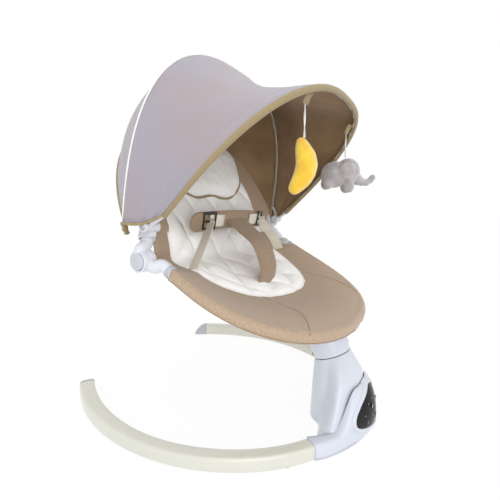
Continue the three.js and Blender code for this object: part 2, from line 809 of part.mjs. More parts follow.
const insertHalfWidth = 172;
const insertFrontY = -148;

function insertOutline() {
  const outline = [];
  const count = 22;
  for (let i = 0; i <= count; i += 1) {
    const a = Math.PI * (i / count);
    const x = -superPower(Math.cos(a), 2.4) * insertHalfWidth;
    outline.push([x, 30 - superPower(Math.sin(a), 2.4) * (30 - insertFrontY)]);
  }
  for (const u of [0.7, 0.35, 0, -0.35, -0.7]) {
    outline.push([insertHalfWidth * u, creaseY - 4 + 6 * (1 - u * u)]);
  }
  return outline;
}

// ---- backrest -----------------------------------------------------------------------------------
const backFace = Math.atan2(backRise, backLean);
const backNormal = vec(0, -Math.sin(backFace), Math.cos(backFace));

function backLine(h) {
  const s = Math.max(h, 0) / backRise;
  return vec(0, hubY + backLean * s ** backBend, hubZ + h);
}

const armTopH = 46;

function backHalfAt(h) {
  const s = Math.min(Math.max(h, 0) / backRise, 1);
  return backHalfWidth * (1 - s ** backPower) ** (1 / backPower);
}

// Upper hoop from arm top to arm top over the head end.
function backPath(trim = 0) {
  const straight = 0.1;
  return new Path((t) => {
    const side = t < 0.5 ? -1 : 1;
    const u = Math.abs(2 * t - 1);
    const start = armTopH - 22 + trim;
    if (u > 1 - straight) {
      const run = (u - 1 + straight) / straight;
      const h = THREE.MathUtils.lerp(armTopH + 10, start, run);
      return backLine(h).setX(side * THREE.MathUtils.lerp(backHalfAt(armTopH + 10), armX(h), run));
    }
    const low = (armTopH + 10) / backRise;
    const a0 = Math.asin(low ** (backPower / 2));
    const a = Math.PI / 2 - (Math.PI / 2 - a0) * (u / (1 - straight));
    const x = superPower(Math.cos(a), backPower) * backHalfWidth;
    return backLine(superPower(Math.sin(a), backPower) * backRise).setX(side * x);
  });
}

const armX = (h) => THREE.MathUtils.lerp(hubX - 4, backHalfAt(armTopH), smooth(0, armTopH, h));

function backPoint(x, h, n) {
  const s = Math.max(h, 0) / backRise;
  const half = Math.max(backHalfAt(h), 1);
  const across = 1 - Math.min(Math.abs(x) / half, 1) ** 2;
  const sag = backSag * across * (1 - s * s * s);
  return backLine(h).setX(x).addScaledVector(backNormal, n - sag);
}

function backOutline(inset, low) {
  const outline = [];
  const count = 26;
  const path = backPath();
  for (let i = 2; i <= count - 2; i += 1) {
    const p = path.getPoint(i / count);
    const h = p.z - hubZ;
    outline.push([p.x * (1 - inset / backHalfWidth), Math.min(h, backRise - inset)]);
  }
  for (const u of [0.85, 0.5, 0.2, -0.2, -0.5, -0.85]) {
    outline.push([backHalfAt(low) * u * (1 - inset / backHalfWidth), low]);
  }
  return outline;
}

function addBack() {
  const tube = sweep(backPath(), circle(seatTubeRadius, 8), hoopSteps);
  place('back_tube', tube, paintedTube);
  const sleeve = sweep(backPath(26), circle(seatTubeRadius + hemWall, 8), hoopSteps);
  const bore = sweep(backPath(), circle(seatTubeRadius + gap, 8), hoopSteps);
  const ends = backBoreEnds();
  const half = clothThickness / 2;
  const sling = softSolid(backOutline(0, 12), [0, 110], backPoint, () => -half, () => half);
  place('back_cover', cut(join(sling, sleeve), bore, ...ends), linen);
  const lift = clothThickness / 2 + backPadGap;
  const high = (r) => lift + 2 + (insertThickness - 2) * Math.sqrt(1 - r ** 4);
  const outline = backInsertOutline();
  place('back_insert', softSolid(outline, [0, 110], backPoint, () => lift, high), quilt);
  const over = lift + insertThickness + softGap;
  const puff = (r) => over + 2 + (pillowThickness - 2) * Math.sqrt(1 - r ** 4);
  place('head_pillow', softSolid(pillowOutline(), [0, pillowMid], backPoint, () => over, puff), quilt);
}

function backBoreEnds() {
  return sides.map(([, side]) => {
    const h = armTopH - 10;
    const at = backLine(h).setX(side * armX(h));
    return disc(armRadius + 3 + softGap, -30, 12, at, armDirection(side), 16);
  });
}

function armDirection(side) {
  const low = backLine(armTopH - 24).setX(side * armX(armTopH - 24));
  const high = backLine(armTopH + 4).setX(side * armX(armTopH + 4));
  return high.sub(low).normalize();
}

const backInsertHalf = 158;
const backInsertTop = 232;

function backInsertOutline() {
  const outline = [];
  const count = 22;
  for (let i = 0; i <= count; i += 1) {
    const a = Math.PI * (i / count);
    const x = -superPower(Math.cos(a), 2.6) * backInsertHalf;
    outline.push([x, 40 + superPower(Math.sin(a), 2.6) * (backInsertTop - 40)]);
  }
  for (const u of [0.7, 0.35, 0, -0.35, -0.7]) outline.push([backInsertHalf * u, 16]);
  return outline;
}

const pillowHalf = 131;
const pillowLow = 120;
const pillowHigh = 232;
const pillowMid = (pillowLow + pillowHigh) / 2;

function pillowOutline() {
  const outline = [];
  for (let i = 0; i < 32; i += 1) {
    const a = (2 * Math.PI * i) / 32;
    const wave = Math.sin(a) < 0 ? 5 * Math.cos(3 * a + Math.PI / 2) : 0;
    const up = superPower(Math.sin(a), 3.2);
    const x = superPower(Math.cos(a), 3.2) * pillowHalf * (1 + 0.07 * up);
    outline.push([x, pillowMid + up * (pillowHigh - pillowMid) + wave]);
  }
  return outline;
}

// Bar that rises from the hub and takes the end of the upper hoop.
function upperArm(side, radius) {
  const path = new THREE.CatmullRomCurve3([
    vec(side * (hubX + 7), hubY + 1, hubZ + 6),
    vec(side * (hubX + 4), hubY + 2, hubZ + 16),
    vec(side * armX(armTopH - 20), backLine(armTopH - 20).y, hubZ + armTopH - 20),
    vec(side * armX(armTopH), backLine(armTopH).y, hubZ + armTopH),
  ]);
  return sweep(path, circle(radius, 10), 8);
}

// ---- recline hubs -------------------------------------------------------------------------------
function addHubs() {
  for (const [name, side] of sides) {
    const axis = vec(side, 0, 0);
    const at = vec(side * hubX, hubY, hubZ);
    const inner = disc(hubRadius, -hubHalf, -gap / 2, at, axis, 20);
    const tubeEnd = seatRim(seatCentreY + armReach - 24).setX(side * seatHalfWidth);
    const lowerPath = new THREE.CatmullRomCurve3([
      vec(side * (hubX - 8), hubY - 6, hubZ - 3),
      vec(side * (hubX - 12), hubY - 22, hubZ - 9),
      seatRim(seatCentreY + armReach - 2).setX(side * seatHalfWidth),
      tubeEnd,
    ]);
    const outside = box([40, 80, 80], [side * (hubX + 20 - gap / 2), hubY, hubZ]);
    const bore = sweep(seatPath(-0.4), circle(seatTubeRadius + gap, 8), hoopSteps);
    const lower = cut(join(inner, sweep(lowerPath, circle(armRadius, 10), 7)), outside, bore);
    place(`lower_arm_${name}`, lower, whitePlastic);

    const outer = disc(hubRadius, gap / 2, hubHalf, at, axis, 20);
    const inside = disc(hubRadius + 3, -40, gap / 2, at, axis, 20);
    const tubeBore = sweep(backPath(-0.4), circle(seatTubeRadius + gap, 8), hoopSteps);
    const buttonRoom = disc(hubButtonRadius + gap, hubHalf - 8, hubHalf + 30, at, axis, 20);
    const pinRoom = disc(hubPin + gap, -1, hubHalf, at, axis, 16);
    const upper = cut(join(outer, upperArm(side, armRadius)), inside, tubeBore, buttonRoom, pinRoom);
    place(`upper_arm_${name}`, upper, whitePlastic);
    const floor = hubHalf - 8 + hubButtonTravel + gap;
    const pinEnd = hubButtonTravel + 2 * gap;
    const press = [[0, pinEnd], [hubPin, pinEnd], [hubPin, floor]];
    press.push([hubButtonRadius, floor]);
    press.push([hubButtonRadius, hubHalf + 1.4], [hubButtonRadius - 1.6, hubHalf + 2.6], [0, hubHalf + 3.2]);
    place(`recline_button_${name}`, turned(press, at, axis, 20), whitePlastic);
  }
}

const hubPin = 4;

// ---- canopy -------------------------------------------------------------------------------------
const knuckle = 7;
const screwRadius = 2.2;
const pivotAt = (side, x = pivotX) => vec(side * x, pivotY, pivotZ);

function addClips() {
  for (const [name, side] of sides) {
    const axis = vec(side, 0, 0);
    const h = armTopH - 6;
    const at = backLine(h).setX(side * armX(h));
    const direction = armDirection(side);
    const band = disc(armRadius + 3, -9, 3, at, direction);
    const face = knuckle / 2 + gap;
    const boss = disc(pivotRadius, -face - 14, -face, pivotAt(side), axis);
    const bridge = box([10, 26, 10], [side * (pivotX - face - 5), (pivotY + at.y) / 2 + 2, at.z + 3]);
    const above = disc(armRadius + gap, 2, 20, at, direction);
    const bores = [upperArm(side, armRadius + 2 * gap), above];
    const screwHole = disc(screwRadius + 2 * gap, -16, 0, pivotAt(side), axis, 12);
    place(`canopy_clip_${name}`, cut(join(join(band, bridge), boss), ...bores, screwHole), whitePlastic);
    const head = knuckle * 1.5 + 2 * gap;
    const screw = [[0, -12], [screwRadius, -12], [screwRadius, head]];
    screw.push([5, head], [4, head + 2], [0, head + 2.4]);
    place(`hinge_screw_${name}`, turned(screw, pivotAt(side), axis, 16), steel);
  }
}

function bowPoint(bow, a, outset = 0) {
  const reach = superPower(Math.sin(a), bow.power) * (bow.length + outset);
  const x = superPower(Math.cos(a), bow.power) * (bow.halfWidth + outset);
  const tilt = rad(bow.angle);
  return vec(x, bow.y - reach * Math.cos(tilt), bow.z + reach * Math.sin(tilt));
}

const bowStations = 18;
const bowStart = 0.05;            // parameter where the fabric and the formed part of a bow begin
const bowAngle = (i) => THREE.MathUtils.lerp(bowStart, Math.PI - bowStart, i / bowStations);

// Wire bow from knuckle to knuckle, straight between the stations that its fabric also has.
function bowPath(bow, layer) {
  const points = [];
  for (let i = 0; i <= bowStations; i += 1) points.push(bowPoint(bow, bowAngle(i)));
  const pivot = pivotAt(1, pivotX + layer);
  const [first] = points;
  const near = pivot.clone().lerp(first, 0.3).setX(pivot.x);
  const far = pivot.clone().lerp(first, 0.7).setX(first.x);
  const lead = [pivot, near, far];
  points.unshift(...lead);
  points.push(...lead.map((p) => p.clone().setX(-p.x)).reverse());
  const last = points.length - 1;
  return new Path((t) => {
    const k = Math.min(Math.max(Math.floor(t * last + 1e-6), 0), last - 1);
    return points[k].clone().lerp(points[k + 1], t * last - k);
  });
}

function bowSolid(bow, layer) {
  const wire = sweep(bowPath(bow, layer), circle(bowRadius, 6), bowStations + 6);
  const discs = sides.map(([, side]) => {
    const at = pivotAt(side, pivotX + layer);
    return disc(pivotRadius - 1, -knuckle / 2, knuckle / 2, at, vec(side, 0, 0));
  });
  const hole = ([, side]) => {
    const at = pivotAt(side, pivotX + layer);
    return disc(screwRadius + 2 * gap, -9, 9, at, vec(side, 0, 0), 12);
  };
  return cut(join(wire, ...discs), ...sides.map(hole));
}

function addBows() {
  place('bow_front', bowSolid(frontBow, 0), paintedTube);
  place('bow_main', bowSolid(mainBow, knuckle + gap), paintedTube);
}

// Fabric between two bows: a curved sheet that dips in the middle.
function canopySheet(from, to, dip, thickness, grow) {
  const along = 5;
  const middle = vec(0, pivotY, pivotZ);
  const grid = (offset) => {
    const rows = [];
    for (let j = 0; j <= along; j += 1) {
      const v = j / along;
      const row = [];
      for (let i = 0; i <= bowStations; i += 1) {
        const a = bowAngle(i);
        const p = bowPoint(from, a, grow).lerp(bowPoint(to, a, grow), v);
        const out = p.clone().sub(middle);
        const reach = out.length();
        const sag = dip * Math.sin(Math.PI * v) * Math.sin(a) ** 1.5;
        row.push(p.addScaledVector(out, (offset - sag) / reach));
      }
      rows.push(row);
    }
    return rows;
  };
  return slab(grid(0), grid(thickness));
}

// Closed sheet between two equal grids of points.
function slab(low, high) {
  const rows = low.length;
  const cols = low[0].length;
  const points = [...low.flat(), ...high.flat()];
  const shift = rows * cols;
  const faces = [];
  const quad = (a, b, c, d) => faces.push(a, b, c, a, c, d);
  const at = (j, i) => j * cols + i;
  for (let j = 0; j + 1 < rows; j += 1) {
    for (let i = 0; i + 1 < cols; i += 1) {
      quad(at(j, i), at(j + 1, i), at(j + 1, i + 1), at(j, i + 1));
      quad(at(j, i) + shift, at(j, i + 1) + shift, at(j + 1, i + 1) + shift, at(j + 1, i) + shift);
    }
  }
  for (let i = 0; i + 1 < cols; i += 1) {
    quad(at(0, i), at(0, i + 1), at(0, i + 1) + shift, at(0, i) + shift);
    quad(at(rows - 1, i + 1), at(rows - 1, i), at(rows - 1, i) + shift, at(rows - 1, i + 1) + shift);
  }
  for (let j = 0; j + 1 < rows; j += 1) {
    quad(at(j + 1, 0), at(j, 0), at(j, 0) + shift, at(j + 1, 0) + shift);
    quad(at(j, cols - 1), at(j + 1, cols - 1), at(j + 1, cols - 1) + shift, at(j, cols - 1) + shift);
  }
  return outward(fromLists(points, faces));
}

const rearHem = { y: pivotY + 46, z: pivotZ + 20, angle: 118, halfWidth: 240, length: 232, power: 2.6 };

function addCanopy() {
  const grow = (bowRadius + softGap) * bowWrap;
  const front = canopySheet(frontBow, mainBow, canopyDip, canopyCloth, grow);
  const tabs = sides.map(([, side]) => {
    const low = toyHook(side);
    const height = tabLength + tabInto;
    return box([10, 3, height], [low.x, low.y, low.z + height / 2]);
  });
  place('canopy_front_panel', join(front, ...tabs), canopyOutside);
  const main = { ...mainBow, angle: mainBow.angle + 1.2 };
  place('canopy_rear_panel', canopySheet(main, rearHem, -12, canopyCloth, grow), canopyOutside);
}

// ---- harness ------------------------------------------------------------------------------------
const strapWidth = 25;
const strapThickness = 1.6;
const padWidth = 38;
const padThickness = 6;
const waistHalf = 130;
const buckleX = 92;
const waistAt = vec(0, seatCentreY + 67, seatRimHeight + 89);
const crotchRoot = vec(0, seatCentreY - 8, 0);

// Flat strip through points; width runs along the given side vectors.
function ribbon(points, across, width, thickness) {
  const curve = new THREE.CatmullRomCurve3(points);
  const steps = points.length * 3;
  const rings = [];
  for (let i = 0; i <= steps; i += 1) {
    const t = i / steps;
    const at = curve.getPoint(t);
    const side = across(t).normalize();
    const up = curve.getTangent(t).cross(side).normalize();
    const wide = side.clone().multiplyScalar(width / 2);
    const thick = up.multiplyScalar(thickness / 2);
    rings.push([[1, 1], [-1, 1], [-1, -1], [1, -1]].map(([p, q]) =>
      at.clone().addScaledVector(wide, p).addScaledVector(thick, q)));
  }
  return loft(rings);
}

function addHarness() {
  const seatTop = seatFace(0, crotchRoot.y) + clothThickness / 2 + softGap + insertThickness;
  const root = vec(0, crotchRoot.y, seatTop + seatPadGap + 1.8);
  const strip = ribbon([root, vec(0, root.y - 6, seatTop + 38), vec(0, root.y + 12, seatTop + 84),
    vec(0, waistAt.y - 25, seatTop + 113), waistAt],
  () => vec(1, 0, 0), padWidth + 4, padThickness);
  const bar = ribbon([-waistHalf, -waistHalf / 2, 0, waistHalf / 2, waistHalf].map((x) =>
    vec(x, waistAt.y + 5 * (x / waistHalf) ** 2, waistAt.z - 4 * (x / waistHalf) ** 2)),
  () => vec(0, -0.25, 0.97), padWidth, padThickness);
  place('crotch_pad', join(strip, bar), strapPad);
  for (const [name, side] of sides) {
    const buckleAt = vec(side * buckleX, waistAt.y - padThickness / 2, waistAt.z - 1);
    const tilt = vec(0, 0.25, -0.97);
    place(`buckle_${name}`, buckle(buckleAt, side, tilt), blackPlastic);
    const start = buckleAt.clone().add(vec(side * 10, -5.3, -20.5));
    const endX = side * (seatHalfWidth - 59);
    const endY = seatCentreY + 44;
    const end = vec(endX, endY, seatFace(endX, endY) + clothThickness / 2 + seatPadGap + insertThickness);
    const middle = start.clone().lerp(end, 0.5).add(vec(side * 3, -3, 3));
    const across = (t) => vec(side * 0.2, -1 + t * 0.2, -0.25);
    const strap = ribbon([start, middle, end], across, strapWidth, strapThickness);
    place(`waist_strap_${name}`, strap, webbing);
  }
}

// Ladder lock: a flat frame with two slots.
function buckle(at, side, down) {
  const corners = [[-15, -17], [15, -17], [15, 17], [-15, 17]];
  const frame = new THREE.Shape(corners.map(([x, y]) => new THREE.Vector2(x, y)));
  for (const y of [-9, 5]) {
    frame.holes.push(new THREE.Path([[-12, y - 4], [-12, y + 4], [12, y + 4], [12, y - 4]]
      .map(([x, z]) => new THREE.Vector2(x, z))));
  }
  const geometry = new THREE.ExtrudeGeometry(frame, { depth: 3, bevelEnabled: false });
  geometry.translate(0, 0, -1.5);
  geometry.rotateX(Math.PI / 2 + Math.atan2(down.y, -down.z));
  geometry.rotateY(side * 0.5);
  geometry.translate(at.x, at.y - 2.6, at.z);
  return outward(welded(geometry));
}

// ---- toys ---------------------------------------------------------------------------------------
// Lower end of the sewn tab that a toy hangs from, behind the front bow.
function toyHook(side) {
  const a = Math.acos((toyX / frontBow.halfWidth) ** (frontBow.power / 2));
  return bowPoint(frontBow, a).setX(side * toyX).add(vec(0, tabBehind, -tabLength));
}

function addToys() {
  for (const [name, side] of [['moon', -1], ['elephant', 1]]) {
    const top = toyHook(side);
    const end = top.clone().add(vec(0, 0, -toyCordLength));
    const cord = new THREE.LineCurve3(top.clone().add(vec(0, 0, -gap)), end.clone().add(vec(0, 0, gap)));
    place(`toy_cord_${name}`, sweep(cord, circle(toyCord, 8), 4), cordWhite);
    const body = name === 'moon' ? moon() : elephant();
    body.translate(end.x, end.y, end.z);
    place(`toy_${name}`, body, name === 'moon' ? yellowPlush : greyPlush);
  }
}

const moonRadius = 60;
const moonHeight = 84;
const moonWidth = 30;

// Stuffed crescent hanging from its upper horn.
function moon() {
  const rings = [];
  const count = 10;
  const span = Math.asin(moonHeight / 2 / moonRadius);
  for (let i = 0; i <= count; i += 1) {
    const v = -1 + (2 * i) / count;
    const a = v * span;
    const r = Math.sqrt(Math.max(1 - v * v, 0.03)) ** 0.8;
    const y = -moonRadius * (Math.cos(a) - Math.cos(span));
    const centre = vec(0, y, moonRadius * Math.sin(a) - moonHeight / 2 - 2);
    const ring = [];
    for (let j = 0; j < 10; j += 1) {
      const b = (2 * Math.PI * j) / 10;
      const out = r * (moonWidth / 2) * Math.cos(b);
      ring.push(centre.clone().add(vec(r * 12 * Math.sin(b), -out * Math.cos(a), out * Math.sin(a))));
    }
    rings.push(ring);
  }
  return loft(rings);
}

function blob(sizes, at, detail = 2) {
  const geometry = new THREE.SphereGeometry(1, 5 * detail, 4 * detail);
  geometry.rotateX(Math.PI / 2);
  geometry.scale(...sizes);
  geometry.translate(...at);
  return outward(welded(geometry));
}

// Stuffed elephant: body, two pairs of feet and a raised trunk towards the foot end.
function elephant() {
  const trunkPoints = [[-26, -26], [-40, -38], [-54, -38], [-62, -27]];
  const trunk = new THREE.CatmullRomCurve3(trunkPoints.map(([y, z]) => vec(0, y, z)));
  const body = blob([22, 35, 25], [0, 0, -25]);
  const feet = [-18, 18].map((y) => blob([16, 11, 16], [0, y, -44]));
  return join(body, ...feet, sweep(trunk, circle(6, 8), 5));
}

addLegs();
addHousing();
addDrive();
addNeck();
addSeat();
addBack();
addHubs();
addClips();
addBows();
addCanopy();
addHarness();
addToys();

// The origin lies on the floor, under the middle of the whole swing.
const extent = new THREE.Box3().setFromObject(swing);
swing.position.y = -(extent.min.y + extent.max.y) / 2;
export default swing;
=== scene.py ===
# Baby swing: finishes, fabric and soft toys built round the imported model.
import json
import math

import bmesh
import bpy
from mathutils import Matrix, Vector, noise
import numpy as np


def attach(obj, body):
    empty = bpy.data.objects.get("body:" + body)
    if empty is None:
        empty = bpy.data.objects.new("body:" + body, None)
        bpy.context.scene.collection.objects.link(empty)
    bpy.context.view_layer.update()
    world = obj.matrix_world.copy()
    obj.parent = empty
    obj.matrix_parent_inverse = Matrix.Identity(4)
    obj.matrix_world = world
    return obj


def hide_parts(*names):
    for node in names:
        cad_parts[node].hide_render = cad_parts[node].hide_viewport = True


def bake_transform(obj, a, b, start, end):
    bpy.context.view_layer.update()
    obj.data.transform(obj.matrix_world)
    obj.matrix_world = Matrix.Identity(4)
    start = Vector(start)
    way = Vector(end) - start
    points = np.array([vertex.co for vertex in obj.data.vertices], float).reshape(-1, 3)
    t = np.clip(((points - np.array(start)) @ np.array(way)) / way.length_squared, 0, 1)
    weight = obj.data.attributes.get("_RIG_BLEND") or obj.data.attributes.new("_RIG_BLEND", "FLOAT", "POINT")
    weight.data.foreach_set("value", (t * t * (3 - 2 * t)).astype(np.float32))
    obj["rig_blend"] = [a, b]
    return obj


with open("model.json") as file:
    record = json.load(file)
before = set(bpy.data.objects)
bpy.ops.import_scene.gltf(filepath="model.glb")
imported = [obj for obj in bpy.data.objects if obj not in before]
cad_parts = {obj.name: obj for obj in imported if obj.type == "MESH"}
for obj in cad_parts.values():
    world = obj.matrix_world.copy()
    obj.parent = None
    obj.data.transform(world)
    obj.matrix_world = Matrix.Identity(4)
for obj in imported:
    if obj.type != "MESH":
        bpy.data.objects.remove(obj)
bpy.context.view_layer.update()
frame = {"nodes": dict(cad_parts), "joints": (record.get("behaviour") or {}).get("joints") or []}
jointAt = {j["name"]: Vector(j["pos_m"]) for j in frame["joints"] if j.get("pos_m")}
neck = jointAt["swing"]                # centre of the seam between housing and neck
pivot = jointAt["canopy_main_fold"]    # canopy axis, on the middle plane
swingAxis = Vector(next(j["axis"] for j in frame["joints"] if j["name"] == "swing"))
mm = 0.001
sides = (("left", "Left", -1), ("right", "Right", 1))


# small helpers
def smoothstep(low, high, value):
    t = min(max((value - low) / (high - low), 0), 1)
    return t * t * (3 - 2 * t)


def lerp(a, b, t):
    return a + (b - a) * t


def superPower(value, power):
    return math.copysign(abs(value) ** (2 / power), value)


def squareCircle(angle, power):
    # the point at an angle on a circle of radius 1, squared off by a power above 2
    return superPower(math.cos(angle), power), superPower(math.sin(angle), power)


def hexColour(code):
    def toLinear(c):
        return c / 12.92 if c <= 0.04045 else ((c + 0.055) / 1.055) ** 2.4
    return [toLinear(int(code[i:i + 2], 16) / 255) for i in (1, 3, 5)] + [1]


def addNode(material, kind, inputs=None, **settings):
    node = material.node_tree.nodes.new("ShaderNode" + kind)
    for key, value in settings.items():
        setattr(node, key, value)
    for key, value in (inputs or {}).items():
        if isinstance(value, bpy.types.NodeSocket):
            material.node_tree.links.new(value, node.inputs[key])
        else:
            node.inputs[key].default_value = value
    return node


def newMaterial(name, **values):
    material = bpy.data.materials.new(name)
    material.use_nodes = True
    shader = material.node_tree.nodes["Principled BSDF"]
    for key, value in values.items():
        shader.inputs[key.replace("_", " ")].default_value = value
    return material, shader


def plug(material, shader, **links):
    for key, socket in links.items():
        material.node_tree.links.new(socket, shader.inputs[key.replace("_", " ")])


# mesh helpers: shells grown ring by ring, sheets, and tubes along a route
def growShell(count, rings, place):
    bm = bmesh.new()
    turnOf = bm.verts.layers.float.new("turn")
    ringOf = bm.verts.layers.int.new("ring")
    bmesh.ops.create_circle(bm, segments=count, radius=1)
    for vert in bm.verts:
        vert[turnOf] = (math.atan2(vert.co.y, vert.co.x) / math.tau) % 1
        vert[ringOf] = 0
    edges = list(bm.edges)
    for ring in range(1, rings):
        grown = bmesh.ops.extrude_edge_only(bm, edges=edges)["geom"]
        fresh = {g for g in grown if isinstance(g, bmesh.types.BMVert)}
        for vert in fresh:
            vert[ringOf] = ring
        edges = [g for g in grown if isinstance(g, bmesh.types.BMEdge) and fresh.issuperset(g.verts)]
    for vert in bm.verts:
        vert.co = place(vert[turnOf], vert[ringOf])
    return bm


def mapShell(bm, cloth):
    layer = bm.loops.layers.uv.new("cloth")
    turnOf = bm.verts.layers.float["turn"]
    ringOf = bm.verts.layers.int["ring"]
    for face in bm.faces:
        latest = max(loop.vert[turnOf] for loop in face.loops)
        for loop in face.loops:
            turn = loop.vert[turnOf]
            if latest - turn > 0.5:
                turn += 1
            loop[layer].uv = cloth(turn, loop.vert[ringOf])


def growSheet(columns, rows, place, cloth):
    bm = bmesh.new()
    layer = bm.loops.layers.uv.new("cloth")
    bmesh.ops.create_grid(bm, x_segments=columns, y_segments=rows, size=0.5)
    for face in bm.faces:
        for loop in face.loops:
            loop[layer].uv = cloth(loop.vert.co.x + 0.5, loop.vert.co.y + 0.5)
    for vert in bm.verts:
        vert.co = place(vert.co.x + 0.5, vert.co.y + 0.5)
    return bm


def placePiece(name, bm, materials):
    for face in bm.faces:
        face.smooth = True
    mesh = bpy.data.meshes.new(name)
    bm.to_mesh(mesh)
    bm.free()
    piece = bpy.data.objects.new(name, mesh)
    bpy.context.scene.collection.objects.link(piece)
    for material in materials:
        mesh.materials.append(material)
    return piece


def finishPiece(name, bm, material, body=None, slot=None, stands=(), sharp=None, weld=1e-6):
    if weld:
        bmesh.ops.remove_doubles(bm, verts=bm.verts, dist=weld)
    bmesh.ops.recalc_face_normals(bm, faces=bm.faces)
    if sharp:
        for edge in bm.edges:
            edge.smooth = edge.calc_face_angle(0) < math.radians(sharp)
    piece = placePiece(name, bm, [material])
    if body:
        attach(piece, body)
    if stands:
        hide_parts(*stands)
    return piece


def frameAlong(points, closed=False, up=Vector((0, 0, 1))):
    # centre, sideways and upward directions at each point of a route
    frames = []
    last = len(points) - 1
    for i, point in enumerate(points):
        ahead = points[(i + 1) % len(points)] if closed else points[min(i + 1, last)]
        behind = points[i - 1] if closed or i else points[0]
        along = (ahead - behind).normalized()
        guide = up(i / last) if callable(up) else up
        side = along.cross(guide).normalized()
        frames.append((point, side, side.cross(along).normalized(), along))
    return frames


def tubeBm(points, radius, count=16, closed=False, up=Vector((0, 0, 1)), flat=1, ends=3, power=2, dome=1):
    # round, flattened or squared tube; radius is in mm, or a function of the share of the length
    frames = frameAlong(points, closed, up)
    last = len(frames) - 1

    def place(turn, ring):
        step = ring % len(frames) if closed else min(max(ring - ends, 0), last)
        at, side, rise, along = frames[step]
        r = (radius(step / last) if callable(radius) else radius) * mm
        over = 0 if closed else max(ends - ring, ring - ends - last)
        shrink = 1
        if over > 0:
            lean = over / ends * math.pi / 2
            shrink = math.cos(lean)
            push = math.sin(lean) * r * min(flat, 1) * dome
            at = at + along * (push if ring > ends else -push)
        wide, tall = squareCircle(turn * math.tau, power)
        return at + side * wide * r * shrink + rise * tall * r * flat * shrink
    return growShell(count, len(frames) + (1 if closed else 2 * ends), place)


def tubePiece(name, route, radius, material, body, slot, stands=(), around=None, **shape):
    # finished tube of cloth, with thread coordinates round it and along it
    bm = tubeBm(route, radius, **shape)
    step = sum((b - a).length for a, b in zip(route, route[1:])) / len(route)
    mapShell(bm, lambda turn, ring: (turn * math.tau * (around or radius) * mm, ring * step))
    return finishPiece(name, bm, material, body, slot, stands)


def smoothRoute(points, steps):
    # Catmull-Rom route through points
    route = []
    spans = len(points) - 1
    for i in range(steps + 1):
        t = i / steps * spans
        k = min(int(t), spans - 1)
        f = t - k
        p0, p1 = points[max(k - 1, 0)], points[k]
        p2, p3 = points[k + 1], points[min(k + 2, spans)]
        route.append(0.5 * ((2 * p1) + (p2 - p0) * f + (2 * p0 - 5 * p1 + 4 * p2 - p3) * f * f
                            + (3 * p1 - p0 - 3 * p2 + p3) * f ** 3))
    return route


def lathe(profile, at, axis, steps=48, soften=0):
    # profile of (radius, height) pairs in mm, turned about an axis through a point
    bm = bmesh.new()
    verts = [bm.verts.new((r * mm, 0, h * mm)) for r, h in profile]
    for a, b in zip(verts, verts[1:]):
        bm.edges.new((a, b))
    bmesh.ops.spin(bm, geom=bm.verts[:] + bm.edges[:], cent=(0, 0, 0), axis=(0, 0, 1),
                   angle=math.tau, steps=steps, use_merge=True)
    bmesh.ops.remove_doubles(bm, verts=bm.verts, dist=1e-6)
    bmesh.ops.recalc_face_normals(bm, faces=bm.faces)
    if soften:
        hard = [e for e in bm.edges if e.calc_face_angle(0) > math.radians(28)]
        bmesh.ops.bevel(bm, geom=hard, offset=soften * mm, segments=3, profile=0.5, affect="EDGES",
                        material=-1)
    turn = Vector((0, 0, 1)).rotation_difference(Vector(axis).normalized()).to_matrix().to_4x4()
    bmesh.ops.transform(bm, matrix=Matrix.Translation(at) @ turn, verts=bm.verts)
    return bm


def applyModifiers(piece):
    evaluated = piece.evaluated_get(bpy.context.evaluated_depsgraph_get())
    mesh = bpy.data.meshes.new_from_object(evaluated)
    piece.modifiers.clear()
    piece.data = mesh
    for polygon in mesh.polygons:
        polygon.use_smooth = True
    return piece


# materials; mm between drawn threads, wider than the real ones so that they show
threads = {"linen": 1.4, "canopy": 1.1, "quilt": 0.9, "webbing": 1.6}


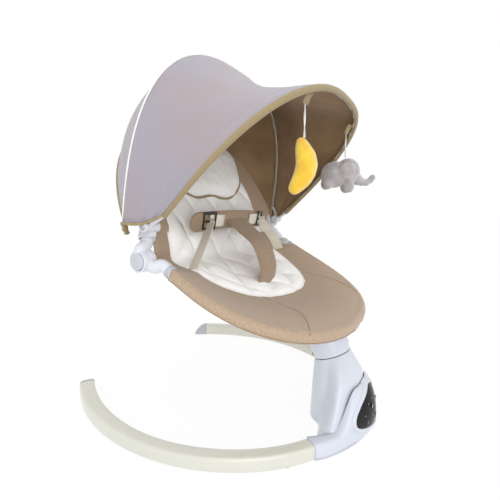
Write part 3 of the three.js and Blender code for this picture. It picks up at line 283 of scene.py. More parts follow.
def fabric(name, colours, spacing, roughness=0.9, sheen=0.25, bump=0.25, patches=None):
    # woven cloth: thread relief, slubs that vary the colour, soft sheen at grazing angles
    material, shader = newMaterial(name, Roughness=roughness, Sheen_Weight=sheen, Sheen_Roughness=0.5,
                                   Specular_IOR_Level=0.25)
    place = addNode(material, "UVMap", uv_map="cloth").outputs["UV"]
    scale = 0.314159 / (spacing * mm)      # one wave band is 0.314159 units long
    waves, slubs = [], []
    # the waves cross as a plain weave, and the slub yarns are 4 mm long and one thread wide
    for direction, stretch in (("X", (260, 2600, 1)), ("Y", (2600, 260, 1))):
        wave = addNode(material, "TexWave", {
            "Vector": place, "Scale": scale, "Distortion": 1.2,
            "Detail": 1, "Detail Scale": 0.6}, wave_type="BANDS", bands_direction=direction)
        mapped = addNode(material, "Mapping", {"Vector": place, "Scale": stretch})
        slub = addNode(material, "TexNoise", {
            "Vector": mapped.outputs["Vector"], "Scale": 1.0, "Detail": 2})
        waves.append(wave.outputs["Fac"])
        slubs.append(slub.outputs["Fac"])
    crossed = addNode(material, "Math", dict(enumerate(waves)), operation="MULTIPLY")
    both = addNode(material, "Math", dict(enumerate(slubs)), operation="ADD")
    half = addNode(material, "Math", {0: both.outputs["Value"], 1: 0.5}, operation="MULTIPLY")
    ramp = addNode(material, "ValToRGB", {"Fac": half.outputs["Value"]})
    for element, position, colour in zip(ramp.color_ramp.elements, (0.4, 0.6), colours):
        element.position, element.color = position, hexColour(colour)
    colour = ramp.outputs["Color"]
    solid = addNode(material, "TexCoord").outputs["Object"]
    if patches:
        cloud = addNode(material, "TexNoise", {"Vector": solid, "Scale": patches[1], "Detail": 2})
        share = addNode(material, "MapRange", {
            "Value": cloud.outputs["Fac"], "From Min": 0.38, "From Max": 0.62})
        colour = addNode(material, "Mix", {
            "Factor": share.outputs["Result"], "A": colour, "B": hexColour(patches[0])},
            data_type="RGBA").outputs["Result"]
    wrinkle = addNode(material, "TexNoise", {
        "Vector": solid, "Scale": 38, "Detail": 3, "Roughness": 0.55})   # creases 25 mm apart
    creases = addNode(material, "Bump", {
        "Height": wrinkle.outputs["Fac"], "Strength": 0.22, "Distance": 3 * mm})
    relief = addNode(material, "Bump", {
        "Height": crossed.outputs["Value"], "Strength": bump, "Distance": 0.5 * mm,
        "Normal": creases.outputs["Normal"]})
    plug(material, shader, Base_Color=colour, Normal=relief.outputs["Normal"])
    return material


def mouldedPlastic(name, colour, roughness, coat=0.0, grain=0.04, shade=None, ior=1.5):
    # injection moulded ABS: even colour, faint flow marks and a fine orange peel in the highlights
    material, shader = newMaterial(name, Roughness=roughness, Coat_Weight=coat, Coat_Roughness=0.12, IOR=ior)
    place = addNode(material, "TexCoord").outputs["Object"]
    flow = addNode(material, "TexNoise", {"Vector": place, "Scale": 9, "Detail": 2})
    tint = addNode(material, "Mix", {
        "Factor": flow.outputs["Fac"], "A": hexColour(colour), "B": hexColour(shade or colour)},
        data_type="RGBA")
    peel = addNode(material, "TexNoise", {
        "Vector": place, "Scale": 700, "Detail": 2})      # peel 1.5 mm across
    spread = addNode(material, "MapRange", {
        "Value": flow.outputs["Fac"], "To Min": roughness - 0.05, "To Max": roughness + 0.06})
    relief = addNode(material, "Bump", {
        "Height": peel.outputs["Fac"], "Strength": grain, "Distance": 0.2 * mm})
    plug(material, shader, Base_Color=tint.outputs["Result"], Roughness=spread.outputs["Result"],
         Normal=relief.outputs["Normal"])
    return material


def turnedMetal(name, colour, roughness):
    # machined or plated metal: bare colour with fine turning marks
    material, shader = newMaterial(name, Metallic=1.0)
    place = addNode(material, "TexCoord").outputs["Object"]
    marks = addNode(material, "TexNoise", {"Vector": place, "Scale": 1500, "Detail": 2})
    spread = addNode(material, "MapRange", {
        "Value": marks.outputs["Fac"], "To Min": roughness - 0.08, "To Max": roughness + 0.12})
    tint = addNode(material, "Mix", {
        "Factor": marks.outputs["Fac"], "A": hexColour(colour),
        "B": [c * 0.85 for c in hexColour(colour)[:3]] + [1]}, data_type="RGBA")
    plug(material, shader, Base_Color=tint.outputs["Result"], Roughness=spread.outputs["Result"])
    return material


def shortPlush(name, colour, shade):
    # knitted plush: short pile that scatters light at the edges, with tufts 2 mm across
    material, shader = newMaterial(name, Roughness=1.0, Sheen_Weight=0.7, Sheen_Roughness=0.6,
                                   Specular_IOR_Level=0.1)
    place = addNode(material, "TexCoord").outputs["Object"]
    tufts = addNode(material, "TexNoise", {
        "Vector": place, "Scale": 480, "Detail": 3, "Roughness": 0.7})
    lay = addNode(material, "TexNoise", {"Vector": place, "Scale": 60, "Detail": 3})
    both = addNode(material, "Math", {0: tufts.outputs["Fac"], 1: lay.outputs["Fac"]},
                   operation="MULTIPLY")
    share = addNode(material, "MapRange", {
        "Value": both.outputs["Value"], "From Min": 0.15, "From Max": 0.38})
    # painted shade: where the relief is low, between the tufts, the pile takes the darker colour
    tint = addNode(material, "Mix", {
        "Factor": share.outputs["Result"], "A": hexColour(shade), "B": hexColour(colour)}, data_type="RGBA")
    relief = addNode(material, "Bump", {
        "Height": both.outputs["Value"], "Strength": 0.9, "Distance": 2.5 * mm})
    plug(material, shader, Base_Color=tint.outputs["Result"], Normal=relief.outputs["Normal"])
    return material


# moulded parts: polished moulds give the legs and panel sharp highlights, textured ones a soft sheen
ivoryAbs = mouldedPlastic("glossyIvoryAbs", "#D0D0C6", 0.2, coat=0.5, shade="#C9C9BD")
whiteAbs = mouldedPlastic("satinCoolWhiteAbs", "#C3C9D4", 0.34, coat=0.15, shade="#C9CED8")
greyAbs = mouldedPlastic("satinGreyAbs", "#B4B5BC", 0.38, shade="#ABACB4")
hubAbs = mouldedPlastic("satinWhiteNylon", "#CDD0D7", 0.4, shade="#D3D6DC")
clearNylon = mouldedPlastic("cloudyClearNylon", "#BFC3C9", 0.25, coat=0.3, shade="#AEB2BA")
blackNylon = mouldedPlastic("mouldedBlackNylon", "#1E1E1C", 0.42, grain=0.15, shade="#262624")
pianoBlack = mouldedPlastic("pianoBlackAcrylic", "#08080A", 0.16, grain=0.0, shade="#0C0C10", ior=1.28)
keyPrint = mouldedPlastic("whiteKeyPrint", "#C9CACE", 0.5)
footRubber = mouldedPlastic("matteBlackRubber", "#262628", 0.85, grain=0.3)
boardGreen = mouldedPlastic("solderMaskGreen", "#2F6B3F", 0.4)
powderCoat = mouldedPlastic("whitePowderCoat", "#D0D2D5", 0.42, grain=0.2)
# metals: streaked highlights, cool on steel and nickel and warm on the lacquered wire
steel = turnedMetal("turnedSteel", "#B9BCC0", 0.32)
nickel = turnedMetal("nickelPlate", "#8E9095", 0.28)
copper = turnedMetal("enamelledCopperWire", "#B4713A", 0.35)
# woven cloth: slubby and matt; the canopy's is finer and its colour drifts, the binding's is coarser
linen = fabric("beigeLinenWeave", ("#937D66", "#C4AE97"), threads["linen"], bump=0.45)
padLinen = fabric("beigeLinenPadding", ("#877159", "#AB957E"), threads["linen"], bump=0.45)
quilting = fabric("whiteQuiltedCotton", ("#FAFAF8", "#FFFFFF"), threads["quilt"], sheen=0.15, bump=0.12)
webbing = fabric("greyBeigeWebbing", ("#D2CBBA", "#E2DCCE"), threads["webbing"], roughness=0.8, bump=0.6)
canopyCloth = fabric("lilacGreyCanopyWeave", ("#918E98", "#A6A2AC"), threads["canopy"], sheen=0.35, bump=0.4,
                     patches=("#A0959A", 6))
lining = fabric("brownLining", ("#8A7052", "#9C8163"), threads["canopy"], sheen=0.1, bump=0.3,
                patches=("#7E664A", 9))
binding = fabric("khakiBiasBinding", ("#8F7E5C", "#A39270"), threads["linen"], roughness=0.8, bump=0.5)
cotton = fabric("whiteCottonCord", ("#E4E4E0", "#F4F4F0"), 0.8, roughness=0.75, bump=0.5)
# plush: soft edges; the second colour is painted shade on the low pile under the tufts
yellowPlush = shortPlush("shortYellowPlush", "#EFCE34", "#DDAE24")
greyPlush = shortPlush("shortGreyPlush", "#B7B2B3", "#989395")
print("materials ready")


# places: millimetres, with y counted from a plane behind the neck's seam
neckAhead = 180
datum = neck.y + neckAhead * mm


def spot(x, y, z):
    return Vector((x * mm, datum + y * mm, z * mm))


# surface of the seat and backrest: x across, q along the spine from the toe
seatHoop = {"half": 222, "y": -30, "front": 188, "power": 2.3, "z": 274, "slope": 0.523, "curl": 0.000467,
            "sag": 44, "deepest": 20}
backHoop = {"y": 58, "z": 311, "rise": 250, "lean": 108, "bend": 1.4, "half": 214, "power": 2.4, "sag": 26}
spineLength = 602                      # along the cloth from toe to head
backNormal = Vector((0, -backHoop["rise"], backHoop["lean"])).normalized()
seatNormal = Vector((0, 0, 1))


def rimHeight(y):
    d = y - seatHoop["y"]
    return seatHoop["z"] + seatHoop["slope"] * d + seatHoop["curl"] * d * d


def seatHalf(y):
    v = min(max((seatHoop["y"] - y) / seatHoop["front"], 0), 1)
    return seatHoop["half"] * (1 - v ** seatHoop["power"]) ** (1 / seatHoop["power"])


def backHalf(h):
    s = min(max(h, 0) / backHoop["rise"], 1)
    return backHoop["half"] * (1 - s ** backHoop["power"]) ** (1 / backHoop["power"])


def seatHeight(x, y):
    along = (y - seatHoop["deepest"]) / (seatHoop["deepest"] - seatHoop["y"] + seatHoop["front"])
    fall = max(1 - along * along, 0) ** (1.9 if along < 0 else 1)
    across = 1 - min(abs(x) / max(seatHalf(y), 1), 1) ** 2
    return rimHeight(y) - seatHoop["sag"] * across * fall


def backPlace(x, h, lift=0):
    s = max(h, 0) / backHoop["rise"]
    across = 1 - min(abs(x) / max(backHalf(h), 1), 1) ** 2
    sink = backHoop["sag"] * across * (1 - s ** 3)
    y = backHoop["y"] + backHoop["lean"] * s ** backHoop["bend"]
    return spot(x, y, backHoop["z"] + h) + backNormal * (lift - sink) * mm


def spine(q):
    return -218 + 0.886 * q, 0.92 * (q - 330), smoothstep(270, 350, q)


def besideHubs(q):
    return smoothstep(246, 268, q) * smoothstep(408, 384, q)


def clothHalf(q):
    y, h, share = spine(q)
    return lerp(seatHalf(y), backHalf(h), share) - 17 * besideHubs(q)


def clothPlace(x, q, lift=0):
    y, h, share = spine(q)
    onSeat = spot(x, y, seatHeight(x, y) + lift)
    return onSeat.lerp(backPlace(x, h, lift), share)


def clothUp(q):
    return seatNormal.lerp(backNormal, spine(q)[2]).normalized()


def padShell(outline, columns, topRings, sideRings, underRings, topAt, sideAt, underAt, edgeSpan=0.04):
    # closed pad grown from the middle of its top, over its edge, to the middle of its underside
    middle = Vector((0, sum(outline(i / 64).y for i in range(64)) / 64))

    def across(turn, share):
        return middle.lerp(outline(turn), share)

    def place(turn, ring):
        if ring <= topRings:
            return topAt(turn, across(turn, ring / topRings), ring / topRings)
        if ring < topRings + sideRings:
            return sideAt(turn, across(turn, 1), (ring - topRings) / sideRings)
        share = 1 - (ring - topRings - sideRings) / underRings
        return underAt(turn, across(turn, share), share)

    def cloth(turn, ring):
        if ring <= topRings:
            at = across(turn % 1, ring / topRings)
        else:
            at = across(turn % 1, 1 + edgeSpan * (ring - topRings) / sideRings)
        return at * mm
    bm = growShell(columns, topRings + sideRings + underRings + 1, place)
    mapShell(bm, cloth)
    return bm


# linen cover: one sling from the toe to the head, rolled round both hoops
slingSize = {"hem": 10.6, "hemAtHubs": 4.5, "turnIn": 0.34, "rollFrom": 110, "rollTo": -150, "cloth": 3}


def hoopEdge(turn):
    angle = turn * math.tau
    q = spineLength / 2 * (1 + math.sin(angle))
    return Vector((math.copysign(clothHalf(q), math.cos(angle)), q))


def outwardAt(turn, edge):
    ahead, behind = edge(turn + 0.002), edge(turn - 0.002)
    along = clothPlace(ahead.x, ahead.y) - clothPlace(behind.x, behind.y)
    return along.cross(clothUp(edge(turn).y)).normalized()


def innerEdge(turn):
    ahead, behind = hoopEdge(turn + 0.002), hoopEdge(turn - 0.002)
    along = (ahead - behind).normalized()
    return hoopEdge(turn) - Vector((along.y, -along.x)) * hemReach(hoopEdge(turn).y) * slingSize["turnIn"]


def hemReach(q):
    # the hem hugs the tube, and is a plain rolled edge beside the hubs
    return lerp(slingSize["hem"], slingSize["hemAtHubs"], besideHubs(q))


def slingPuckers(at):
    return 1.1 * noise.noise(Vector((at.x, at.y, 0)) / 42) + 0.6 * noise.noise(Vector((at.x, at.y, 9)) / 17)


def slingTop(turn, at, share):
    reach = hemReach(hoopEdge(turn).y)
    lift = lerp(slingSize["cloth"], reach * 0.94, smoothstep(0.5, 0.97, share))
    lift += slingPuckers(at) * smoothstep(1, 0.8, share)
    return clothPlace(at.x, at.y, lift)


def slingHem(turn, at, share):
    edge = hoopEdge(turn)
    reach = hemReach(edge.y)
    angle = math.radians(lerp(slingSize["rollFrom"], slingSize["rollTo"], share))
    bunch = 1 + 0.03 * noise.noise(Vector((edge.x, edge.y, share * 30)) / 9)
    rim = clothPlace(edge.x, edge.y) + outwardAt(turn, hoopEdge) * math.cos(angle) * reach * bunch * mm
    return rim + clothUp(edge.y) * math.sin(angle) * reach * bunch * mm


def slingUnder(turn, at, share):
    reach = hemReach(hoopEdge(turn).y)
    return clothPlace(at.x, at.y, lerp(-3.5, -reach * 0.5, smoothstep(0.86, 1, share)))


sling = finishPiece("linenSling", padShell(innerEdge, 240, 40, 14, 20, slingTop, slingHem, slingUnder, 0.2),
                    linen, slot="linen_fabric", stands=("seat_cover", "back_cover"))
crease = {"start": spot(0, 20, 285), "end": spot(0, 84, 340)}
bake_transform(sling, "seat_frame", "backrest", crease["start"], crease["end"])


def slingLift(x, q):
    # height of the sling's top over the hoops' surface, at the same share of the way to its edge
    middle = Vector((0, spineLength / 2))
    reach = Vector((x, q)) - middle
    rays = [innerEdge(i / 360) - middle for i in range(360)]
    ray = max(rays, key=lambda r: r.normalized().dot(reach.normalized()))
    share = min(reach.length / ray.length, 1)
    return lerp(slingSize["cloth"], hemReach(q) * 0.94, smoothstep(0.5, 0.97, share))


def clothSeam(name, corners):
    # a sewn line that follows the cloth through (x, q) corners
    route = smoothRoute([Vector((x, q, 0)) for x, q in corners], 60)
    points = [clothPlace(p.x, p.y, slingLift(p.x, p.y)) for p in route]
    tubePiece(name, points, 0.9, seamShade, "seat_frame", "linen_fabric", count=8)


seamShade = fabric("linenSeamShade", ("#8D745C", "#9C836A"), threads["linen"])
clothSeam("footPanelSeamLeft", [(-60, 190), (-56, 150), (-70, 92), (-106, 56), (-150, 30)])
clothSeam("footPanelSeamRight", [(143, 170), (155, 120), (154, 76), (140, 40), (122, 22)])
for name, tag, side in sides:
    underSeam = []
    for i in range(4, 92):
        turn = 0.75 + side * i / 400
        edge = hoopEdge(turn)
        under = outwardAt(turn, hoopEdge) * 0.82 - clothUp(edge.y) * 0.6
        underSeam.append(clothPlace(edge.x, edge.y) + under * slingSize["hem"] * mm)
    tubePiece(f"hemSeam{tag}", underSeam, 0.7, seamShade, "seat_frame", "linen_fabric", count=8)
print("linen sling ready")


# white quilted insert
insertSize = {"middle": 342, "half": 161, "flare": 14, "front": 186, "rear": 240, "square": 2.5, "skew": 0.2,
              "cellAcross": 74, "cellAlong": 104, "puff": 11}


def insertEdge(turn):
    angle = turn * math.tau
    front = max(-math.sin(angle), 0)
    across, along = squareCircle(angle, insertSize["square"])
    x = across * insertSize["half"] + insertSize["flare"] * front
    reach = insertSize["front" if math.sin(angle) < 0 else "rear"]
    ripple = 0.8 * math.sin(angle * 23) + 0.5 * math.sin(angle * 41 + 1)
    return Vector((x, insertSize["middle"] + along * (reach + ripple) - insertSize["skew"] * x * front))


def quiltPuff(at):
    # height of the diamond cells that the crossed stitching leaves
    bend = 0.16 * math.sin(at.y / 38)
    across, along = at.x / insertSize["cellAcross"] + bend, at.y / insertSize["cellAlong"]
    first, second = across + along, across - along
    cell = abs(math.sin(math.pi * first)) * abs(math.sin(math.pi * second))
    pucker = noise.noise(Vector((at.x, at.y, 3)) / 11) * (1 - cell) ** 3
    return insertSize["puff"] * cell ** 0.42 + 2.2 * pucker + 2.2 * noise.noise(Vector((at.x, at.y, 5)) / 55)


def insertTop(turn, at, share):
    return clothPlace(at.x, at.y, 5 + (3.5 + quiltPuff(at)) * (1 - share ** 9) ** 0.5)


def insertSide(turn, at, share):
    edge = insertEdge(turn)
    angle = math.radians(lerp(80, -80, share))
    out = outwardAt(turn, insertEdge)
    rolled = out * math.cos(angle) * 3 + clothUp(edge.y) * math.sin(angle) * 2
    return clothPlace(edge.x, edge.y, 4.6) + rolled * mm


def insertUnder(turn, at, share):
    return clothPlace(at.x, at.y, 2.8)


insertBm = padShell(insertEdge, 280, 110, 7, 12, insertTop, insertSide, insertUnder)
insert = finishPiece("quiltedInsert", insertBm, quilting, slot="white_quilting",
                     stands=("seat_insert", "back_insert"))
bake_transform(insert, "seat_frame", "backrest", crease["start"], crease["end"])


# head pillow with a khaki cord round its edge
pillowSize = {"middle": 517, "half": 126, "front": 62, "rear": 63, "square": 3.2, "scallop": 8, "crown": 17,
              "cord": 2.9}


def pillowEdge(turn):
    across, up = squareCircle(turn * math.tau, pillowSize["square"])
    x = across * pillowSize["half"] * (1 + 0.05 * up)
    scallop = -pillowSize["scallop"] * math.sin(math.pi * abs(x) / 118) ** 2 if up < 0 else 0
    return Vector((x, pillowSize["middle"] + up * pillowSize["front" if up < 0 else "rear"] + scallop))


def pillowTop(turn, at, share):
    crown = (1 - share ** 2.6) ** 0.6
    dimple = -6 * math.exp(-((at.x / 52) ** 2 + ((at.y - 522) / 38) ** 2))
    lumps = 2.4 * noise.noise(Vector((at.x, at.y, 0)) / 34) + 1.4 * noise.noise(Vector((at.x, at.y, 4)) / 15)
    gathers = 1.3 * math.sin(turn * math.tau * 46) * smoothstep(0.7, 0.97, share) * (1 - share)
    return clothPlace(at.x, at.y, 17 + crown * (pillowSize["crown"] + dimple + lumps) + gathers * 4)


def pillowSide(turn, at, share):
    edge = pillowEdge(turn)
    angle = math.radians(lerp(60, -60, share))
    out = outwardAt(turn, pillowEdge) * math.cos(angle) * 2
    return clothPlace(edge.x, edge.y, 16 + 1.5 * math.sin(angle)) + out * mm


def pillowUnder(turn, at, share):
    return clothPlace(at.x, at.y, 14.5 - (1 - share) * 3)


pillow = finishPiece("headPillow", padShell(pillowEdge, 220, 60, 5, 12, pillowTop, pillowSide, pillowUnder),
                     quilting, "backrest", "white_quilting", ("head_pillow",))
cordRoute = []
for i in range(220):
    edge = pillowEdge(i / 220)
    cordRoute.append(clothPlace(edge.x, edge.y, 16) + outwardAt(i / 220, pillowEdge) * 2.6 * mm)
tubePiece("pillowPiping", cordRoute, pillowSize["cord"], binding, "backrest", "white_quilting", count=12,
          closed=True)
print("insert and pillow ready")


# canopy: cloth stretched over two bows and a rear hem
bows = {
    "front": {"y": 22, "z": 380, "angle": 42.4, "half": 219, "length": 288, "power": 2.76},
    "main": {"y": 80, "z": 366, "angle": 80.6, "half": 245, "length": 300, "power": 2.75},
    "rear": {"y": 84, "z": 354, "angle": 120, "half": 229, "length": 248, "power": 1.95},
}
canopyCut = {"out": 4.8, "end": 0.003, "thick": 1.4}    # off a bow's centre line, and its end angle
canopyPanels = {
    "canopyFrontPanel": {"bows": ("front", "main"), "bodies": ("canopy_front", "canopy_main"), "dip": 26,
                         "hem": 2.2, "rows": 44, "depth": 0.34, "flat": (0.82, 0.36),
                         "node": "canopy_front_panel"},
    "canopyRearPanel": {"bows": ("main", "rear"), "bodies": ("canopy_main", "backrest"), "dip": -14,
                        "hem": 0, "rows": 30, "depth": 0.2, "flat": (0.82, 0.24),
                        "node": "canopy_rear_panel"},
}


def bowPlace(key, a, outset=0):
    bow = bows[key]
    tilt = math.radians(bow["angle"])
    across, up = squareCircle(a, bow["power"])
    reach = up * (bow["length"] + outset)
    return spot(across * (bow["half"] + outset), bow["y"] - reach * math.cos(tilt),
                bow["z"] + reach * math.sin(tilt))


def bowAngle(share):
    return lerp(canopyCut["end"], math.pi - canopyCut["end"], share)


def canopyPlace(cut, share, v, lift=0):
    a = bowAngle(share)
    start, end = (bowPlace(key, a, canopyCut["out"]) for key in cut["bows"])
    at = start.lerp(end, v)
    out = (at - pivot).normalized()
    middle = math.sin(math.pi * v)
    nearEnd = math.exp(-min(a, math.pi - a) / 0.2)
    gathers = 1.4 * nearEnd * math.sin(v * 21 + 1.5) * middle
    folds = 6.5 * noise.noise(Vector((share * 7, v * 1.6, cut["dip"]))) * middle * (1 - nearEnd)
    sag = Vector((0, 0, -7 * nearEnd * middle)) * mm          # the end hem droops to the clip
    dip = cut["dip"] * middle * math.sin(a) ** 1.5
    return at + sag + out * (lift + 1.6 * nearEnd + gathers + folds - dip) * mm


def canopyBlend(piece, cut):
    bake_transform(piece, *cut["bodies"], *(bowPlace(key, math.pi / 2) for key in cut["bows"]))


def canopyPanel(name, cut):
    def place(share, v):
        return canopyPlace(cut, share, v, cut["hem"] * math.sin(math.pi * min(v / 0.13, 1)))
    bm = growSheet(150, cut["rows"], place, lambda s, v: (s * cut["flat"][0], v * cut["depth"]))
    bm.normal_update()
    for face in bm.faces:
        if face.normal.dot(face.calc_center_median() - pivot) < 0:
            face.normal_flip()
    area = sum(face.calc_area() for face in bm.faces)
    piece = placePiece(name, bm, (canopyCloth, lining, binding))
    thick = piece.modifiers.new("thickness", "SOLIDIFY")
    thick.thickness = canopyCut["thick"] * mm
    thick.offset = -1
    thick.material_offset = 1
    thick.material_offset_rim = 2
    print(name, "cloth area", round(area, 4))
    return applyModifiers(piece), area


def canopyTube(name, route, radius, material, body=None, count=12, slot="canopy_fabric"):
    return tubePiece(name, route, radius, material, body, slot, count=count, up=Vector((0, -0.3, 1)))


made = [canopyPanel(name, cut) for name, cut in canopyPanels.items()]
for (panel, area), cut in zip(made, canopyPanels.values()):
    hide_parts(cut["node"])
    canopyBlend(panel, cut)
    min(area, cut["flat"][0] * cut["flat"][1])

for name, tag, side in sides:
    knuckle = spot(side * 226, 50, 364)
    foot = bowPlace("front", bowAngle(0 if side > 0 else 1), 1)
    canopyTube(f"bowFoot{tag}", [knuckle.lerp(foot, t / 8) for t in range(9)], 3.2, powderCoat,
               "canopy_front", slot="painted_steel_wire")
shares = [i / 160 for i in range(161)]
for name, bow, outset, radius, material in (("frontPiping", "front", 1.2, 5, binding),
                                            ("mainSeam", "main", 5.2, 1.3, cotton),
                                            ("innerSeam", "main", -1.6, 2.6, binding)):
    canopyTube(name, [bowPlace(bow, bowAngle(s), outset) for s in shares], radius, material, f"canopy_{bow}")
frontCut, rearCut = canopyPanels.values()
rearRoute = [canopyPlace(rearCut, lerp(0.012, 0.988, s), 1) for s in shares]
canopyTube("rearPiping", rearRoute, 2.4, binding, "backrest")
stitchShade = fabric("canopyStitchShade", ("#9C97A0", "#A9A3AC"), threads["canopy"])
hemRoute = [canopyPlace(frontCut, s, 0.13, 0.2) for s in shares]
canopyBlend(canopyTube("hemStitch", hemRoute, 0.8, stitchShade, count=8), frontCut)
for cut in canopyPanels.values():
    for name, share in (("Right", 0), ("Left", 1)):
        route = [canopyPlace(cut, share, v / 20) for v in range(21)]
        canopyBlend(canopyTube(f"{cut['bows'][1]}Hem{name}", route, 2.2, binding), cut)
print("canopy ready")


# harness
waist = {"bend": 130, "y": 37, "z": 371, "half": 19, "thin": 3.6, "webbing": 25, "webbingThick": 1.6}
crotchTop = seatHeight(0, -38) + 12
barRoute = []
for x in range(-118, 119, 4):
    curve = (x / waist["bend"]) ** 2
    barRoute.append(spot(x, waist["y"] + 5 * curve, waist["z"] - 4 * curve))
waistPad = tubePiece("waistPad", barRoute, waist["half"], padLinen, "seat_frame", "strap_pad_fabric",
                     ("crotch_pad",), count=28, up=Vector((0, -0.97, -0.25)),
                     flat=waist["thin"] / waist["half"], ends=8, power=3,
                     dome=0.95 * waist["half"] / waist["thin"])
stripRoute = smoothRoute([spot(0, y, crotchTop + up) for y, up in ((-36, -6), (-44, 32), (-27, 78), (8, 106))]
                         + [spot(0, 34, 368)], 40)


def stripGuide(t):
    return Vector((0, -1, 0)).lerp(Vector((0, -0.5, 1)), t)


crotchPad = tubePiece("crotchPad", stripRoute, lambda t: lerp(31, 35, t), padLinen, "seat_frame",
                      "strap_pad_fabric", around=20, count=36, up=stripGuide, flat=waist["thin"] / 33,
                      power=3)
for name, tag, side in sides:
    edge = [p + Vector((side * lerp(30, 34, i / 40) * mm, 0, 0)) for i, p in enumerate(stripRoute)]
    tubePiece(f"crotchPiping{tag}", edge, 2.1, padLinen, "seat_frame", "strap_pad_fabric", count=10,
              up=stripGuide)


def ribbon(name, route, wide, width, thick=waist["webbingThick"], material=webbing, body="seat_frame",
           slot="webbing", stands=()):
    guide = wide.cross((route[-1] - route[0]).normalized())
    return tubePiece(name, route, width / 2, material, body, slot, stands, count=20, up=guide,
                     flat=thick / width, ends=2, power=7, dome=0.2)


def ladderLock(name, centre, wide, tall, stands):
    bm = bmesh.new()
    deep = wide.cross(tall).normalized()
    turn = Matrix((wide, tall, deep)).transposed().to_4x4()
    bars = [((-13.6, 0), (2.8, 34)), ((13.6, 0), (2.8, 34)), ((0, -15.2), (28, 3.6)), ((0, -1.5), (26, 4.2)),
            ((0, 14.4), (28, 5.2))]
    for i, ((x, y), (w, h)) in enumerate(bars):
        made = bmesh.ops.create_cube(bm, size=1)["verts"]
        thick = 3.4 if i < 3 else 2.6
        bmesh.ops.scale(bm, vec=(w * mm, h * mm, thick * mm), verts=made)
        bmesh.ops.translate(bm, vec=(x * mm, y * mm, 0), verts=made)
    bmesh.ops.bevel(bm, geom=bm.edges[:], offset=0.9 * mm, segments=3, profile=0.5, affect="EDGES")
    bmesh.ops.transform(bm, matrix=Matrix.Translation(centre) @ turn, verts=bm.verts)
    return finishPiece(name, bm, blackNylon, "seat_frame", "black_plastic", stands, weld=0)


for name, tag, side in sides:
    wide = Matrix.Rotation(side * 0.25, 3, "Z") @ Vector((1, 0, 0))
    tall = Vector((0, -0.25, 0.97)).normalized()
    tall = (tall - wide * tall.dot(wide)).normalized()
    lockAt = spot(side * 94, 31.5, 370)
    ladderLock(f"ladderLock{tag}", lockAt, wide, tall, (f"buckle_{name}",))
    anchorX, anchorY = side * 163, 14
    start = spot(side * 97, 29, 362)
    end = spot(anchorX, anchorY, seatHeight(anchorX, anchorY) + 14)
    middle = start.lerp(end, 0.5) + Vector((side * 3, -4, 2)) * mm
    route = smoothRoute([spot(side * 95, 31, 374), start, middle, end], 24)
    ribbon(f"waistStrap{tag}", route, Vector((side * 0.55, -1, -0.25)).normalized(),
           waist["webbing"], stands=(f"waist_strap_{name}",))
    overPad = [spot(side * x, waist["y"] - 5.4, waist["z"] - 1.5) for x in (48, 60, 72, 84, 94)]
    ribbon(f"padWebbing{tag}", overPad, tall, 24)
    tail = [spot(side * 100, 27, 358), spot(side * 108, 24, 350), spot(side * 114, 25, 338)]
    ribbon(f"strapTail{tag}", smoothRoute(tail, 10), Vector((side * 0.5, -1, -0.1)).normalized(), 24)
print("harness ready")


# hubs, arms and buttons
hubSize = {"x": 231, "y": 58, "z": 311, "radius": 17.5, "half": 12.5, "recess": 14.4, "button": 13.9}
for name, tag, side in sides:
    axis = Vector((side, 0, 0))
    centre = spot(side * hubSize["x"], hubSize["y"], hubSize["z"])
    r, half, recess, press = (hubSize[key] for key in ("radius", "half", "recess", "button"))
    for piece, profile, soften, material, body, node in (
            ("hubInner", [(0, -half), (r, -half), (r, -0.2), (0, -0.2)], 1.6, hubAbs, "seat_frame",
             "lower_arm"),
            ("hubOuter", [(0, 0.3), (r, 0.3), (r, half), (recess, half), (recess, 6), (0, 6)], 1.1, hubAbs,
             "backrest", "upper_arm"),
            ("reclineButton", [(0, 6.5), (press, 6.5), (press, half + 1), (press - 1.3, half + 2.3),
                               (7, half + 3.1), (0, half + 3.4)], 0.6, clearNylon, f"recline_press_{name}",
             "recline_button")):
        finishPiece(f"{piece}{tag}", lathe(profile, centre, axis, 64, soften), material, body,
                    "hub_white_plastic", (f"{node}_{name}",), sharp=40)
    armTop = backHalf(46)
    low = smoothRoute([spot(side * x, y, z) for x, y, z in (
        (229, 54, 308), (226, 38, 302), (222, 26, rimHeight(26)), (221, 13, rimHeight(13)))], 30)
    tip = [spot(side * 221, y, rimHeight(y)) for y in (12.5, 11, 9.5, 8)]
    high = smoothRoute([spot(side * 235, 59, 316), spot(side * 234, 60, 328),
                        backPlace(side * lerp(230, armTop, 0.66), 27), backPlace(side * armTop, 47)], 30)
    for piece, route, start, end, dome, material, body, slot in (
            ("armLower", low, 11.4, 9.6, 0.25, hubAbs, "seat_frame", "hub_white_plastic"),
            ("armCollar", tip, 10.6, 10.6, 0.2, greyAbs, "seat_frame", "grey_plastic"),
            ("armUpper", high, 10.2, 9.8, 0.3, hubAbs, "backrest", "hub_white_plastic")):
        arm = tubeBm(route, lambda t: lerp(start, end, t), 32, dome=dome)
        finishPiece(f"{piece}{tag}", arm, material, body, slot)
print("hubs ready")


# toys hanging behind the front bow
aslant = Vector((0.515, -0.857, 0))        # the toys hang turned a little, noses towards the foot end
depthways = Vector((0.857, 0.515, 0))
toyCord = {"length": 46, "radius": 0.8, "twist": 5, "points": 30}      # the twist is in radians


def plushPiece(name, bm, voxel, material, body, slot, stands):
    piece = finishPiece(name, bm, material, None, slot, stands, weld=0)
    remesh = piece.modifiers.new("stuffing", "REMESH")
    remesh.mode = "VOXEL"
    remesh.voxel_size = voxel
    smooth = piece.modifiers.new("rounding", "SMOOTH")
    smooth.factor = 0.8
    smooth.iterations = 9
    applyModifiers(piece)
    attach(piece, body)
    return piece


